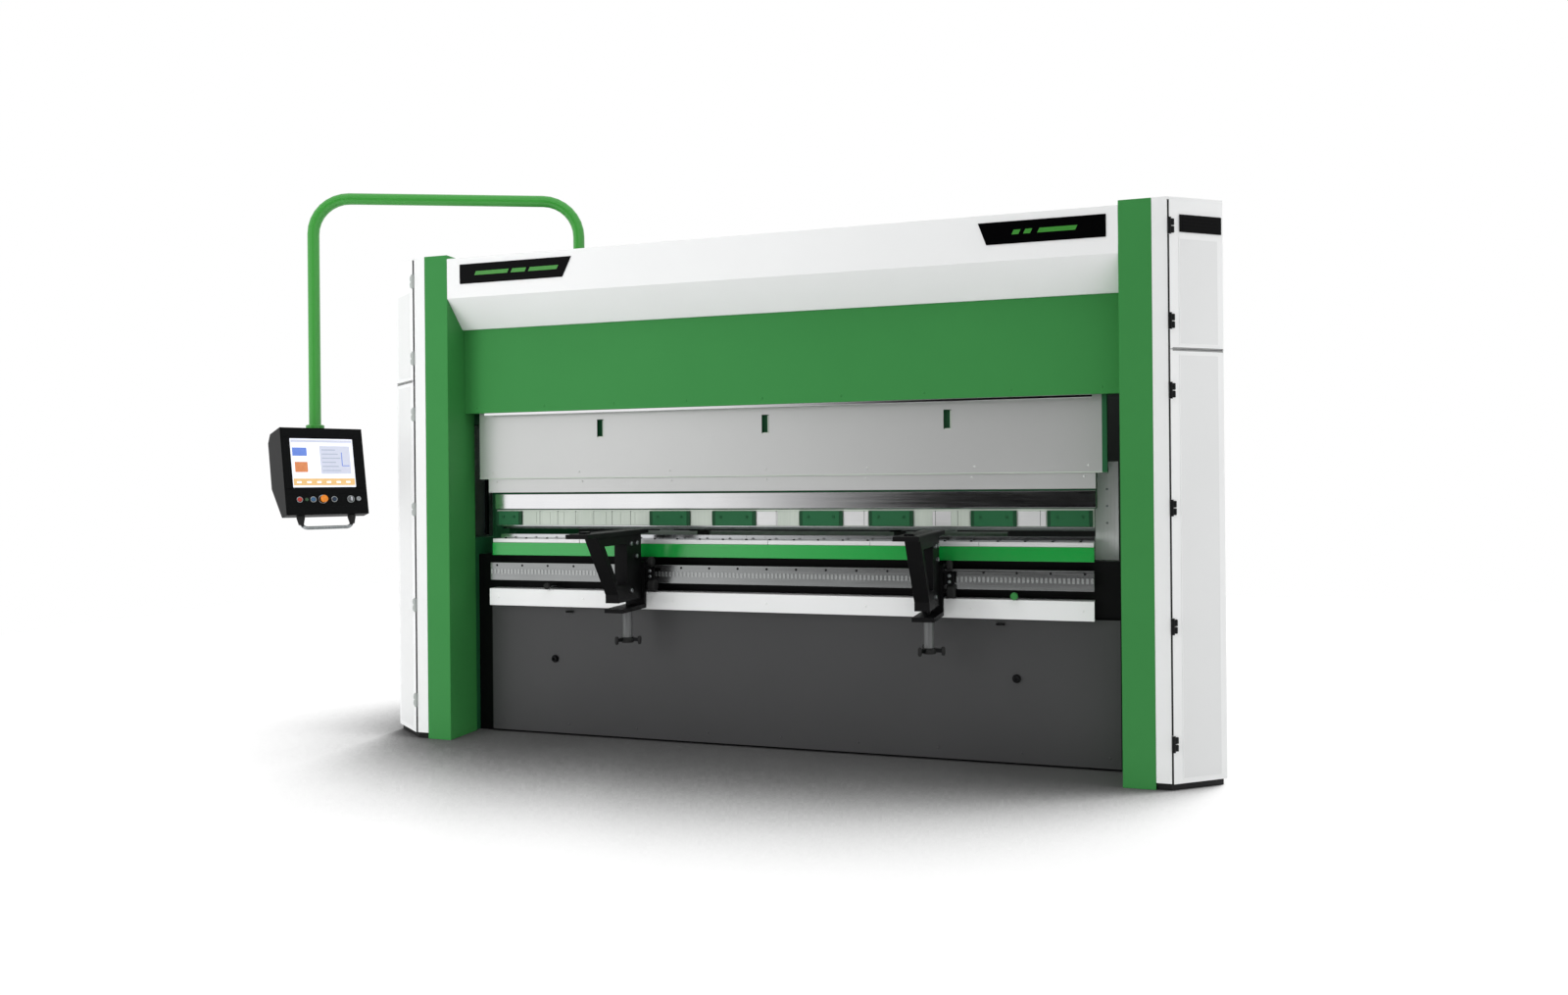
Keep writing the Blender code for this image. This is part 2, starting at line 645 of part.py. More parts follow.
def make_ram():
    """Everything that slides up and down together."""
    half = [(STRIP_HALF, RAM_BOTTOM), (STRIP_HALF, SKIN_BOTTOM), (RAM_HALF, SKIN_BOTTOM),
            (RAM_HALF, RAM_TOP), (CYLINDER_X + NOTCH_HALF, RAM_TOP),
            (CYLINDER_X + NOTCH_HALF, NOTCH_FLOOR), (CYLINDER_X - NOTCH_HALF, NOTCH_FLOOR),
            (CYLINDER_X - NOTCH_HALF, RAM_TOP)]
    outline = half + mirrored(list(reversed(half)), -1)
    pieces = [solid("ram_beam", prism(outline, "Y", RAM_FRONT_Y, -RAM_FRONT_Y), DARK_GREEN)]
    face = RAM_FRONT_Y - GAP
    skin_low = SKIN_BOTTOM + GAP
    skin_path = bent([(face, skin_low), (SKIN_Y, skin_low), (SKIN_Y, RAM_TOP)], -SHEET)
    skin = solid("ram_front_skin", prism(skin_path, "X", -RAM_HALF, RAM_HALF), LIGHT_GREY)
    slot_low = SKIN_BOTTOM + SLOT_BOTTOM_RISE
    for x in SLOT_XS:
        cut(skin, box((x - SLOT_WIDTH / 2, x + SLOT_WIDTH / 2), (SKIN_Y - CUT_PAST, SKIN_Y + CUT_PAST),
                      (slot_low, slot_low + SLOT_HEIGHT)))
    pieces.append(skin)
    nose = bent([(face, NOSE_BOTTOM), (NOSE_Y, NOSE_BOTTOM), (NOSE_Y, SKIN_BOTTOM - GAP),
                 (face, SKIN_BOTTOM - GAP)], -SHEET)
    pieces.append(solid("ram_nose_cover", prism(nose, "X", -STRIP_HALF, STRIP_HALF), LIGHT_GREY))
    pieces.append(make_punch_holder())
    tip = [(0, PUNCH_TIP), (BLADE_HALF, HOLDER_BOTTOM - BLADE_TAPER),
           (BLADE_HALF, HOLDER_BOTTOM - GAP), (TANG_HALF, HOLDER_BOTTOM - GAP),
           (TANG_HALF, HOLDER_BOTTOM + TANG_HEIGHT)]
    outline = tip + mirrored(list(reversed(tip[1:])), -1)
    pieces.append(solid("punch", prism(outline, "X", -TOOL_HALF, TOOL_HALF), STEEL, 0.3, 1.0))
    piston_top = CYLINDER_TOP - CYLINDER_CAP - STROKE_UP - PISTON_TOP_ROOM
    rod = [(0, NOTCH_FLOOR + GAP), (ROD_RADIUS, NOTCH_FLOOR + GAP),
           (ROD_RADIUS, piston_top - PISTON_HEIGHT), (BORE_RADIUS - RUNNING, piston_top - PISTON_HEIGHT),
           (BORE_RADIUS - RUNNING, piston_top), (0, piston_top)]
    for name, side in SIDES:
        pieces.append(smooth(solid("piston_rod_" + name, spun(rod, (side * CYLINDER_X, 0, 0)),
                                   STEEL, 0.15, 1.0)))
    carry(joint_empty("ram_slide", (0, 0, RAM_BOTTOM)), *pieces)


def make_punch_holder():
    """Steel bar under the ram with a slot for the punch and a row of clamp blocks."""
    slot = TANG_HALF + GAP
    slot_top = HOLDER_BOTTOM + TANG_HEIGHT + 4 * RUNNING
    front = RAM_FRONT_Y - HOLDER_PROUD
    bar = [(front, HOLDER_BOTTOM), (-slot, HOLDER_BOTTOM), (-slot, slot_top), (slot, slot_top),
           (slot, HOLDER_BOTTOM), (HOLDER_REAR_Y, HOLDER_BOTTOM), (HOLDER_REAR_Y, HOLDER_TOP),
           (front, HOLDER_TOP)]
    holder = solid("punch_holder", prism(bar, "X", -TOOL_HALF, TOOL_HALF), STEEL, 0.4, 1.0)
    for share, width in CLAMPS:
        centre = share * TOOL_HALF
        join(holder, box((centre - width / 2, centre + width / 2), (front - CLAMP_PROUD, front + SHEET),
                         (HOLDER_BOTTOM + 2 * RUNNING, HOLDER_BOTTOM + CLAMP_HEIGHT)))
    return holder


def make_cylinders():
    """Hollow cylinders bolted to the top tie beam, and the guides at the ram's ends."""
    gland = ROD_RADIUS + RUNNING
    wall = [(gland, CYLINDER_BOTTOM), (CYLINDER_RADIUS, CYLINDER_BOTTOM),
            (CYLINDER_RADIUS, CYLINDER_TOP), (0, CYLINDER_TOP),
            (0, CYLINDER_TOP - CYLINDER_CAP), (BORE_RADIUS, CYLINDER_TOP - CYLINDER_CAP),
            (BORE_RADIUS, CYLINDER_BOTTOM + CYLINDER_GLAND), (gland, CYLINDER_BOTTOM + CYLINDER_GLAND)]
    profile = wall[4:] + wall[:4]
    for name, side in SIDES:
        centre = side * CYLINDER_X
        barrel = solid("cylinder_" + name, spun(profile, (centre, 0, 0)), LIGHT_GREY, 0.4)
        pad_front = (BORE_RADIUS + CYLINDER_RADIUS) / 2
        join(barrel, box((centre - CYLINDER_PAD_HALF, centre + CYLINDER_PAD_HALF),
                         (pad_front, TOP_TIE_FRONT_Y - GAP),
                         (TOP_TIE_BOTTOM + CYLINDER_PAD_INSET, TOP_TIE_TOP - CYLINDER_PAD_INSET)))
        smooth(barrel)
        inner = RAM_HALF + RUNNING
        lap = RAM_HALF - GUIDE_LAP
        groove = RAM_PLATE / 2 + RUNNING
        outer = groove + GUIDE_CHEEK
        guide = [(lap, -outer), (BEAM_HALF, -outer), (BEAM_HALF, outer), (lap, outer),
                 (lap, groove), (inner, groove), (inner, -groove), (lap, -groove)]
        solid("ram_guide_" + name, prism(mirrored(guide, side), "Z", GUIDE_BOTTOM, GUIDE_TOP),
              LIGHT_GREY, 0.4, 1.0)


def make_hydraulic_unit():
    """Open-topped oil tank behind the top tie beam with a motor on its right end."""
    front = TOP_TIE_FRONT_Y + TIE_PLATE + GAP
    low, high = TOP_TIE_BOTTOM - TANK_HANG, TOP_TIE_TOP - TANK_TOP_GAP
    tank = solid("oil_tank", box((-TANK_HALF, TANK_HALF), (front, front + TANK_DEPTH), (low, high)),
                 LIGHT_GREY)
    cut(tank, box((-TANK_HALF + TANK_WALL, TANK_HALF - TANK_WALL),
                  (front + TANK_WALL, front + TANK_DEPTH - TANK_WALL),
                  (low + TANK_WALL, high + CUT_PAST)))
    start = TANK_HALF + GAP
    neck_end, end = start + PUMP_LENGTH, start + MOTOR_LENGTH
    body = [(0, start), (PUMP_RADIUS, start), (PUMP_RADIUS, neck_end),
            (MOTOR_RADIUS, neck_end + MOTOR_SHOULDER), (MOTOR_RADIUS, end - 2 * MOTOR_SHOULDER),
            (MOTOR_RADIUS - MOTOR_CAP_INSET, end), (0, end)]
    motor = spun(body, (0, front + TANK_DEPTH / 2, (low + high) / 2), 24, "X")
    smooth(solid("pump_motor", motor, DARK_GREY))


def make_cabinet():
    """Electrical cabinet on the right frame, open towards the side door."""
    inner = FRAME_OUTER + GAP
    cabinet = solid("electrical_cabinet", box((inner, inner + CABINET_DEPTH), CABINET_YS, CABINET_ZS),
                    LIGHT_GREY)
    cut(cabinet, box((inner + SHEET, inner + CABINET_DEPTH + CUT_PAST),
                     (CABINET_YS[0] + SHEET, CABINET_YS[1] - SHEET),
                     (CABINET_ZS[0] + SHEET, CABINET_ZS[1] - SHEET)))


def make_pendant():
    """Swinging overhead arm with a control panel that swivels at its end."""
    base = TOP_TIE_TOP + GAP
    bore = TUBE_RADIUS + RUNNING
    floor = base + SOCKET_FLOOR
    socket = [(0, base), (bore + SOCKET_WALL, base), (bore + SOCKET_WALL, base + SOCKET_HEIGHT),
              (bore, base + SOCKET_HEIGHT), (bore, floor), (0, floor)]
    smooth(solid("arm_socket", spun(socket, (PIVOT_X, PIVOT_Y, 0)), DARK_GREY))
    drop_x = PIVOT_X + ARM_REACH * math.cos(ARM_ANGLE)
    drop_y = PIVOT_Y + ARM_REACH * math.sin(ARM_ANGLE)
    tube_end = PANEL_TOP - TUBE_STOP
    corners = [Vector((PIVOT_X, PIVOT_Y, floor + GAP)), Vector((PIVOT_X, PIVOT_Y, ARM_TOP)),
               Vector((drop_x, drop_y, ARM_TOP)), Vector((drop_x, drop_y, tube_end))]
    tube = smooth(solid("pendant_arm", swept(rounded_path(corners, TUBE_BEND), TUBE_RADIUS), GREEN))
    swing = joint_empty("pendant_arm_swing", (PIVOT_X, PIVOT_Y, base))
    carry(swing, tube)
    swivel = joint_empty("pendant_swivel", (drop_x, drop_y, tube_end), swing)
    make_panel(Vector((drop_x, drop_y, PANEL_TOP)), tube_end, swivel)


def make_panel(top, tube_end, swivel):
    """Control panel built upright with its front at -Y, then tilted and turned into place."""
    pose = (Matrix.Translation(top) @ Matrix.Rotation(PANEL_YAW, 4, "Z")
            @ Matrix.Rotation(-PANEL_TILT, 4, "X"))
    side = [(-PANEL_FRONT, -PANEL_HEIGHT), (-PANEL_FRONT, 0), (PANEL_REAR - PANEL_REAR_CORNER, 0),
            (PANEL_REAR, -PANEL_REAR_CORNER), (PANEL_REAR, -PANEL_HEIGHT * PANEL_REAR_SHARE),
            (PANEL_FOOT_Y, -PANEL_HEIGHT)]
    housing = solid("pendant_housing", prism(side, "X", -PANEL_WIDTH / 2, PANEL_WIDTH / 2), BLACK)
    add_controls(pose, swivel, housing)
    housing.data.transform(pose)
    bore = TUBE_RADIUS + RUNNING
    cup = [(0, tube_end - COLLAR_SINK), (COLLAR_RADIUS, tube_end - COLLAR_SINK),
           (COLLAR_RADIUS, tube_end + COLLAR_DEPTH), (0, tube_end + COLLAR_DEPTH)]
    join(housing, spun(cup, (top.x, top.y, 0)))
    past = tube_end + 2 * COLLAR_DEPTH
    hole = [(0, tube_end - GAP), (bore, tube_end - GAP), (bore, past), (0, past)]
    cut(housing, spun(hole, (top.x, top.y, 0)))
    carry(swivel, housing)


def add_controls(pose, swivel, housing):
    """Buttons in their pockets, selector and lower handle; the housing is still upright."""
    facing = Matrix.Rotation(math.pi / 2, 4, "X")

    def fitted(name, profile, x, colour, stem=0.0, travel=0.0):
        """A turned control; a travel means that it sits in a pocket and can be pressed in."""
        seat = Matrix.Translation((x, -PANEL_FRONT, -BUTTON_DROP)) @ facing
        if travel:
            hole = stem + RUNNING
            floor = -BUTTON_SEAT - travel - RUNNING
            pocket = spun([(0, floor), (hole, floor), (hole, CUT_PAST), (0, CUT_PAST)], (0, 0, 0))
            pocket.transform(seat)
            cut(housing, pocket)
        shape = spun(profile, (0, 0, 0))
        shape.transform(pose @ seat)
        knob = smooth(solid(name, shape, colour))
        carry(joint_empty(name + "_axis", (pose @ seat).translation, swivel), knob)

    edge = BUTTON_EDGE
    button = [(0, -BUTTON_SEAT), (BUTTON_RADIUS, -BUTTON_SEAT), (BUTTON_RADIUS, BUTTON_PROUD - edge),
              (BUTTON_RADIUS - edge, BUTTON_PROUD), (0, BUTTON_PROUD)]
    head = [(0, -BUTTON_SEAT), (STOP_STEM, -BUTTON_SEAT), (STOP_STEM, STOP_NECK),
            (STOP_RADIUS, STOP_NECK + edge), (STOP_RADIUS, STOP_RIM),
            (STOP_RADIUS - 2 * edge, STOP_PROUD), (0, STOP_PROUD)]
    dial = [(0, GAP), (SELECTOR_RADIUS, GAP), (SELECTOR_RADIUS - edge, SELECTOR_PROUD),
            (0, SELECTOR_PROUD)]
    fitted("push_button_start", button, START_X, RED, BUTTON_RADIUS, BUTTON_TRAVEL)
    fitted("push_button_reset", button, RESET_X, BLUE, BUTTON_RADIUS, BUTTON_TRAVEL)
    fitted("push_button_mode", button, MODE_X, BLUE, BUTTON_RADIUS, BUTTON_TRAVEL)
    fitted("emergency_stop", head, STOP_X, ORANGE, STOP_STEM, STOP_TRAVEL)
    fitted("selector_knob", dial, SELECTOR_X, LIGHT_GREY)
    low = -PANEL_HEIGHT - GAP
    bottom = low - HANDLE_DROP
    legs = [Vector((-HANDLE_HALF, HANDLE_Y, low)), Vector((-HANDLE_HALF, HANDLE_Y, bottom)),
            Vector((HANDLE_HALF, HANDLE_Y, bottom)), Vector((HANDLE_HALF, HANDLE_Y, low))]
    bar = swept(rounded_path(legs, HANDLE_BEND, 4), HANDLE_RADIUS, 12)
    bar.transform(pose)
    carry(swivel, smooth(solid("pendant_handle", bar, LIGHT_GREY)))


def make_supports():
    """Sheet supports that slide along the front rail and are raised by a hand screw."""
    web = BED_FRONT_Y - GAP - SUPPORT_RAIL_WEB
    head = web - SUPPORT_RAIL_HEAD
    low, high = SUPPORT_RAIL_BOTTOM, SUPPORT_RAIL_BOTTOM + SUPPORT_RAIL_HEIGHT
    behind, hook = web + RUNNING, web + RUNNING + SADDLE_LAP
    lip_low = low + SUPPORT_RAIL_STEP - RUNNING
    lip_high = high - SUPPORT_RAIL_STEP + RUNNING
    bottom, foot_top = SUPPORT_FOOT_BOTTOM, SUPPORT_FOOT_BOTTOM + SUPPORT_FOOT_THICKNESS
    foot_y, back_y = ARM_FOOT_Y + SUPPORT_FOOT_THICKNESS, CARRIAGE_FRONT_Y + SUPPORT_FOOT_THICKNESS
    saddle = [(hook, low - SADDLE_WALL), (hook, lip_low), (behind, lip_low), (behind, low - RUNNING),
              (head - RUNNING, low - RUNNING), (head - RUNNING, high + RUNNING),
              (behind, high + RUNNING), (behind, lip_high), (hook, lip_high),
              (hook, high + SADDLE_WALL), (CARRIAGE_FRONT_Y, high + SADDLE_WALL),
              (CARRIAGE_FRONT_Y, foot_top), (foot_y, foot_top), (foot_y, bottom), (back_y, bottom),
              (back_y, low - SADDLE_WALL)]
    arm_low = foot_top + LIFT + CUT_PAST
    rear = CARRIAGE_FRONT_Y - RUNNING
    under = ARM_PLATE_TOP - ARM_PLATE_THICKNESS
    into = under + ARM_PLATE_THICKNESS / 2
    knee = arm_low + ARM_FOOT_HEIGHT
    arm = [(rear, arm_low), (rear, into), (ARM_STRUT_Y, into), (ARM_FOOT_Y, knee),
           (ARM_FOOT_Y, arm_low)]
    lean = (ARM_STRUT_Y - ARM_FOOT_Y) / (into - knee)
    window_low, window_high = knee + WINDOW_MARGIN, under - WINDOW_MARGIN
    window = [(WINDOW_REAR_Y, window_low), (WINDOW_REAR_Y, window_high),
              (ARM_FOOT_Y + lean * (window_high - knee) + STRUT_WIDTH, window_high),
              (ARM_FOOT_Y + lean * (window_low - knee) + STRUT_WIDTH, window_low)]
    for name, x in SUPPORT_XS.items():
        carriage = solid("support_carriage_" + name,
                         prism(saddle, "X", x - CARRIAGE_HALF, x + CARRIAGE_HALF), BLACK)
        hole = SCREW_RADIUS + RUNNING
        bearing = [(0, bottom - CUT_PAST), (hole, bottom - CUT_PAST), (hole, foot_top + CUT_PAST),
                   (0, foot_top + CUT_PAST)]
        cut(carriage, spun(bearing, (x, SCREW_Y, 0), 16))
        bracket = solid("support_arm_" + name, prism(arm, "X", x - ARM_WEB_HALF, x + ARM_WEB_HALF), BLACK)
        join(bracket, box((x - ARM_PLATE_HALF, x + ARM_PLATE_HALF), (ARM_TIP_Y, ARM_REAR_Y),
                          (under, ARM_PLATE_TOP)))
        cut(bracket, prism(window, "X", x - ARM_PLATE_HALF, x + ARM_PLATE_HALF))
        screw_top = arm_low + SCREW_NUT_HEIGHT
        nut_top = screw_top + LIFT + CUT_PAST
        nut = [(0, arm_low - CUT_PAST), (hole, arm_low - CUT_PAST), (hole, nut_top), (0, nut_top)]
        cut(bracket, spun(nut, (x, SCREW_Y, 0), 16))
        collar = SUPPORT_FOOT_BOTTOM - RUNNING
        rod = [(0, STAR_BOTTOM), (SCREW_HUB_RADIUS, STAR_BOTTOM), (SCREW_HUB_RADIUS, collar),
               (SCREW_RADIUS, collar), (SCREW_RADIUS, screw_top), (0, screw_top)]
        screw = solid("support_screw_" + name, spun(rod, (x, SCREW_Y, 0), 16), BLACK)
        for turn in range(3):
            star_low = STAR_BOTTOM + SHEET
            arm_shape = box((SCREW_RADIUS, STAR_RADIUS), (-STAR_ARM_HALF, STAR_ARM_HALF),
                            (star_low, star_low + STAR_ARM_THICKNESS))
            arm_shape.transform(Matrix.Translation((x, SCREW_Y, 0))
                                @ Matrix.Rotation(turn * 2 * math.pi / 3, 4, "Z"))
            join(screw, arm_shape)
        slide = joint_empty(f"support_{name}_slide", (x, SCREW_Y, high))
        carry(slide, carriage)
        carry(joint_empty(f"support_{name}_lift", (x, SCREW_Y, arm_low), slide), bracket)
        carry(joint_empty(f"support_{name}_screw", (x, SCREW_Y, collar), slide), screw)


def make_back_gauge():
    """Rear stops: bases on the bed, a driven carriage, a lifting beam and two fingers."""
    bed = BED_REAR_Y + GAP
    base = [(bed, BASE_BOTTOM), (bed, BASE_TOP), (BASE_REAR_Y, BASE_TOP),
            (BASE_REAR_Y, BASE_TOP - BASE_TIP_HEIGHT), (bed + BASE_TAPER_Y, BASE_TOP - BASE_KNEE_HEIGHT)]
    for name, side in SIDES:
        solid("backgauge_base_" + name,
              prism(base, "X", side * BASE_X - BASE_HALF, side * BASE_X + BASE_HALF), LIGHT_GREY)
    saddle_low, saddle_high = BASE_TOP + GAP, BASE_TOP + SADDLE_HEIGHT
    cross_half = BASE_X + CROSS_OVERHANG
    carriage = solid("backgauge_carriage",
                     box((-cross_half, cross_half), (GAUGE_Y - CROSS_HALF_Y, GAUGE_Y + CROSS_HALF_Y),
                         (saddle_high - SHEET, saddle_high + CROSS_HEIGHT)), LIGHT_GREY)
    for side in (-1, 1):
        saddle_x, post_x = side * BASE_X, side * (BASE_X - POST_INSET)
        join(carriage,
             box((saddle_x - SADDLE_HALF_X, saddle_x + SADDLE_HALF_X),
                 (GAUGE_Y - SADDLE_HALF_Y, GAUGE_Y + SADDLE_HALF_Y), (saddle_low, saddle_high)),
             box((post_x - POST_HALF, post_x + POST_HALF), (GAUGE_Y - POST_HALF, GAUGE_Y + POST_HALF),
                 (saddle_high + CROSS_HEIGHT / 2, BEAM_HIGH + POST_PROUD)))
    beam_rear = GAUGE_Y - POST_HALF - RUNNING
    beam_front = beam_rear - BEAM_DEPTH
    beam_half = BASE_X + BEAM_OVERHANG
    beam = solid("backgauge_beam", box((-beam_half, beam_half), (beam_front, beam_rear),
                                       (BEAM_LOW, BEAM_HIGH)), STEEL, 0.35, 1.0)
    slide = joint_empty("backgauge_slide", (0, GAUGE_Y, BASE_TOP))
    carry(slide, carriage)
    lift = joint_empty("backgauge_lift", (0, beam_rear, BEAM_LOW), slide)
    carry(lift, beam)
    front = beam_front - RUNNING
    top = BEAM_HIGH + RUNNING
    plate = front - FINGER_WALL
    finger = [(FINGER_TIP_Y, FINGER_LOW), (plate, FINGER_LOW), (plate, BEAM_LOW), (front, BEAM_LOW),
              (front, top), (beam_rear, top), (beam_rear, top + FINGER_WALL),
              (plate, top + FINGER_WALL + FINGER_THICKNESS / 2),
              (FINGER_TIP_Y, FINGER_LOW + FINGER_THICKNESS)]
    for name, side in SIDES:
        x = side * FINGER_X
        stop = solid("backgauge_finger_" + name, prism(finger, "X", x - FINGER_HALF, x + FINGER_HALF),
                     DARK_GREY)
        carry(joint_empty(f"finger_{name}_slide", (x, beam_front, BEAM_HIGH), lift), stop)


clear_scene()
make_side_frames()
make_columns()
make_doors()
make_bed()
make_tie_beams()
make_covers()
make_ram()
make_cylinders()
make_hydraulic_unit()
make_cabinet()
make_pendant()
make_supports()
make_back_gauge()
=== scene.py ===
"""Looks of the press brake: finishes, fittings, floor, light and camera round the CAD frame."""
import json
import math

import bmesh
import bpy
from mathutils import Matrix, Vector


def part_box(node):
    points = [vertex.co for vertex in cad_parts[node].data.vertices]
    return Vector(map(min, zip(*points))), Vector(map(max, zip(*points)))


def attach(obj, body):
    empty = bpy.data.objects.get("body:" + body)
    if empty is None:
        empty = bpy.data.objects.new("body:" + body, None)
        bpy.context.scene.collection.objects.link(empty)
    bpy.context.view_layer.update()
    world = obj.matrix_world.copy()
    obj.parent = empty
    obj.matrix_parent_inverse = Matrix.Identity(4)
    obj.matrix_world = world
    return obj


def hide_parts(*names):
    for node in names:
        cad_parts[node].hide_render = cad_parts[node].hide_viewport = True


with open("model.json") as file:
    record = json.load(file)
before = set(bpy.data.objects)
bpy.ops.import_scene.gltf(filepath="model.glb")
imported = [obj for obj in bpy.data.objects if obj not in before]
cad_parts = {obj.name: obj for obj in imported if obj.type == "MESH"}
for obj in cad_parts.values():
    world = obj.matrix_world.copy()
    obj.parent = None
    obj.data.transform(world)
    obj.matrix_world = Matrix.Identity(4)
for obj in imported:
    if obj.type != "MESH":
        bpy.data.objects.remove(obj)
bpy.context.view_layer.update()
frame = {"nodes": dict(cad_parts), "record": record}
BODY_OF = {name: body for body, names in frame["record"]["behaviour"]["bodies"].items() for name in names}
JOINT_OF = {joint["name"]: joint for joint in frame["record"]["behaviour"]["joints"]}
SIDES = (("left", -1), ("right", 1))
LIFT_OFF = 0.0004                      # gap between a fitting and the surface that it lies on
SHARP = math.radians(32)               # edges sharper than this are rounded, or stay creased
FLAT = math.radians(0.5)               # faces flatter than this are one face
MERGE = 0.00002                        # points closer than this are one point
HALF_TURN = Matrix.Rotation(math.pi, 4, "Z")
TO_FRONT = (math.pi / 2, 0, 0)         # turns a part's +Z to face the operator


# ---------------------------------------------------------------- small tools

def linear(hex_colour):
    """An sRGB hex colour as linear RGBA."""
    parts = [int(hex_colour[start:start + 2], 16) / 255 for start in (1, 3, 5)]
    return (*[v / 12.92 if v <= 0.04045 else ((v + 0.055) / 1.055) ** 2.4 for v in parts], 1.0)


def add_node(tree, kind, inputs=None, **settings):
    """Adds a node with its settings; an input is a value or the socket that it is linked from."""
    made = tree.nodes.new(kind)
    for name, value in settings.items():
        setattr(made, name, value)
    for name, value in (inputs or {}).items():
        if isinstance(value, bpy.types.NodeSocket):
            tree.links.new(value, made.inputs[name])
        else:
            made.inputs[name].default_value = value
    return made


def new_material(name):
    made = bpy.data.materials.new(name)
    made.use_nodes = True
    tree = made.node_tree
    tree.nodes.clear()
    shader = add_node(tree, "ShaderNodeBsdfPrincipled")
    output = add_node(tree, "ShaderNodeOutputMaterial", {"Surface": shader.outputs["BSDF"]})
    return made, tree, shader, output


COARSER_PEEL = 6         # orange peel is drawn this many times as coarse as it is, so that it shows
COARSER_GRAIN = 5        # and so are grinding lines and the grain of plastics


def two_tones(tree, pattern, deep, colour):
    """Socket with a mix of two close colours by a pattern."""
    mixed = add_node(tree, "ShaderNodeMix", {"Factor": pattern}, data_type="RGBA")
    mixed.inputs[6].default_value = linear(deep)
    mixed.inputs[7].default_value = linear(colour)
    return mixed.outputs[2]


def relief(tree, height, strength, distance):
    bump = add_node(tree, "ShaderNodeBump", {"Height": height, "Strength": strength, "Distance": distance})
    return bump.outputs["Normal"]


def dress(tree, shader, links, constants):
    """Links sockets to the shader's inputs and sets its constants."""
    for name, socket in links.items():
        tree.links.new(socket, shader.inputs[name])
    for name, value in constants.items():
        shader.inputs[name].default_value = value


def painted(name, colour, deep, roughness, peel_mm=2.2, peel=0.10, shine=0.5, metallic=0.0):
    """Paint or powder coat: orange peel in the gloss and a slow drift between two close colours."""
    made, tree, shader, _ = new_material(name)
    place = add_node(tree, "ShaderNodeTexCoord").outputs["Object"]
    drift = add_node(tree, "ShaderNodeTexNoise", {"Vector": place, "Scale": 2.1, "Detail": 3.0})
    fine = add_node(tree, "ShaderNodeTexNoise",
                    {"Vector": place, "Scale": 1000 / (peel_mm * COARSER_PEEL), "Detail": 2.0})
    gloss = add_node(tree, "ShaderNodeMapRange",
                     {"Value": fine.outputs["Fac"], "To Min": roughness - 0.05, "To Max": roughness + 0.06})
    dress(tree, shader, {"Base Color": two_tones(tree, drift.outputs["Fac"], deep, colour),
                         "Roughness": gloss.outputs["Result"],
                         "Normal": relief(tree, fine.outputs["Fac"], peel, 0.0006)},
          {"Specular IOR Level": shine, "Metallic": metallic})
    return made


def worked_metal(name, colour, deep, roughness, along="X", line_mm=1.4, depth=0.16, metallic=1.0):
    """Ground or brushed metal: long fine lines along one axis in colour, gloss and relief."""
    made, tree, shader, _ = new_material(name)
    place = add_node(tree, "ShaderNodeTexCoord").outputs["Object"]
    across = 1000 / (line_mm * COARSER_GRAIN)
    stretch = [3.0 if axis == along else across for axis in "XYZ"]
    laid = add_node(tree, "ShaderNodeMapping", {"Vector": place, "Scale": stretch})
    lines = add_node(tree, "ShaderNodeTexNoise",
                     {"Vector": laid.outputs["Vector"], "Scale": 1.0, "Detail": 4.0, "Roughness": 0.7})
    cloud = add_node(tree, "ShaderNodeTexNoise", {"Vector": place, "Scale": 5.0, "Detail": 4.0})
    both = add_node(tree, "ShaderNodeMath", {0: lines.outputs["Fac"], 1: cloud.outputs["Fac"]},
                    operation="MULTIPLY")
    spread = add_node(tree, "ShaderNodeMapRange",
                      {"Value": both.outputs[0], "From Min": 0.10, "From Max": 0.42})
    gloss = add_node(tree, "ShaderNodeMapRange",
                     {"Value": lines.outputs["Fac"], "To Min": roughness - 0.08, "To Max": roughness + 0.10})
    dress(tree, shader, {"Base Color": two_tones(tree, spread.outputs["Result"], deep, colour),
                         "Roughness": gloss.outputs["Result"],
                         "Normal": relief(tree, lines.outputs["Fac"], depth, 0.0004)},
          {"Metallic": metallic})
    return made


def moulded(name, colour, deep, roughness, grain_mm=0.8, depth=0.12, glow=0.0, shine=0.5):
    """Moulded plastic: a fine spark-eroded grain; glow lights a screen area, and on some caps and badges it
    is a painted glow.
    """
    made, tree, shader, _ = new_material(name)
    place = add_node(tree, "ShaderNodeTexCoord").outputs["Object"]
    grain = add_node(tree, "ShaderNodeTexNoise",
                     {"Vector": place, "Scale": 1000 / (grain_mm * COARSER_GRAIN), "Detail": 2.0})
    tone = two_tones(tree, grain.outputs["Fac"], deep, colour)
    dress(tree, shader, {"Base Color": tone, "Normal": relief(tree, grain.outputs["Fac"], depth, 0.0003)},
          {"Roughness": roughness, "Specular IOR Level": shine})
    if glow:
        dress(tree, shader, {"Emission Color": tone}, {"Emission Strength": glow})
    return made


# Satin polyester powder coat on folded sheet: even colour, soft broad highlight, slight peel.
GREEN = painted("powder_coat_leaf_green", "#3D8C48", "#388543", 0.46, shine=0.2)
# The same coat on thick welded plate, darker, with a coarser surface from the blasted steel.
DARK_GREEN = painted("paint_on_welded_plate_green", "#246640", "#1D5834", 0.45, 5.0, 0.22, 0.3)
# Painted shade at the ends of the clamp blocks: the same coat in a deeper green.
PAINTED_SHADE_GREEN = painted("painted_shade_clamp_ends_green", "#13482A", "#0E3C22", 0.45, 5.0, 0.22, 0.3)
# Bright green enamel strip along the table's edge: glossier and more saturated.
BRIGHT_GREEN = painted("enamel_bright_green", "#16A544", "#109B3C", 0.16, 3.0, 0.03, 1.0)
# Fresh lime-tinted coat on the arm's tube.
TUBE_GREEN = painted("powder_coat_tube_green", "#3F9A3C", "#389236", 0.30, 2.2, 0.08)
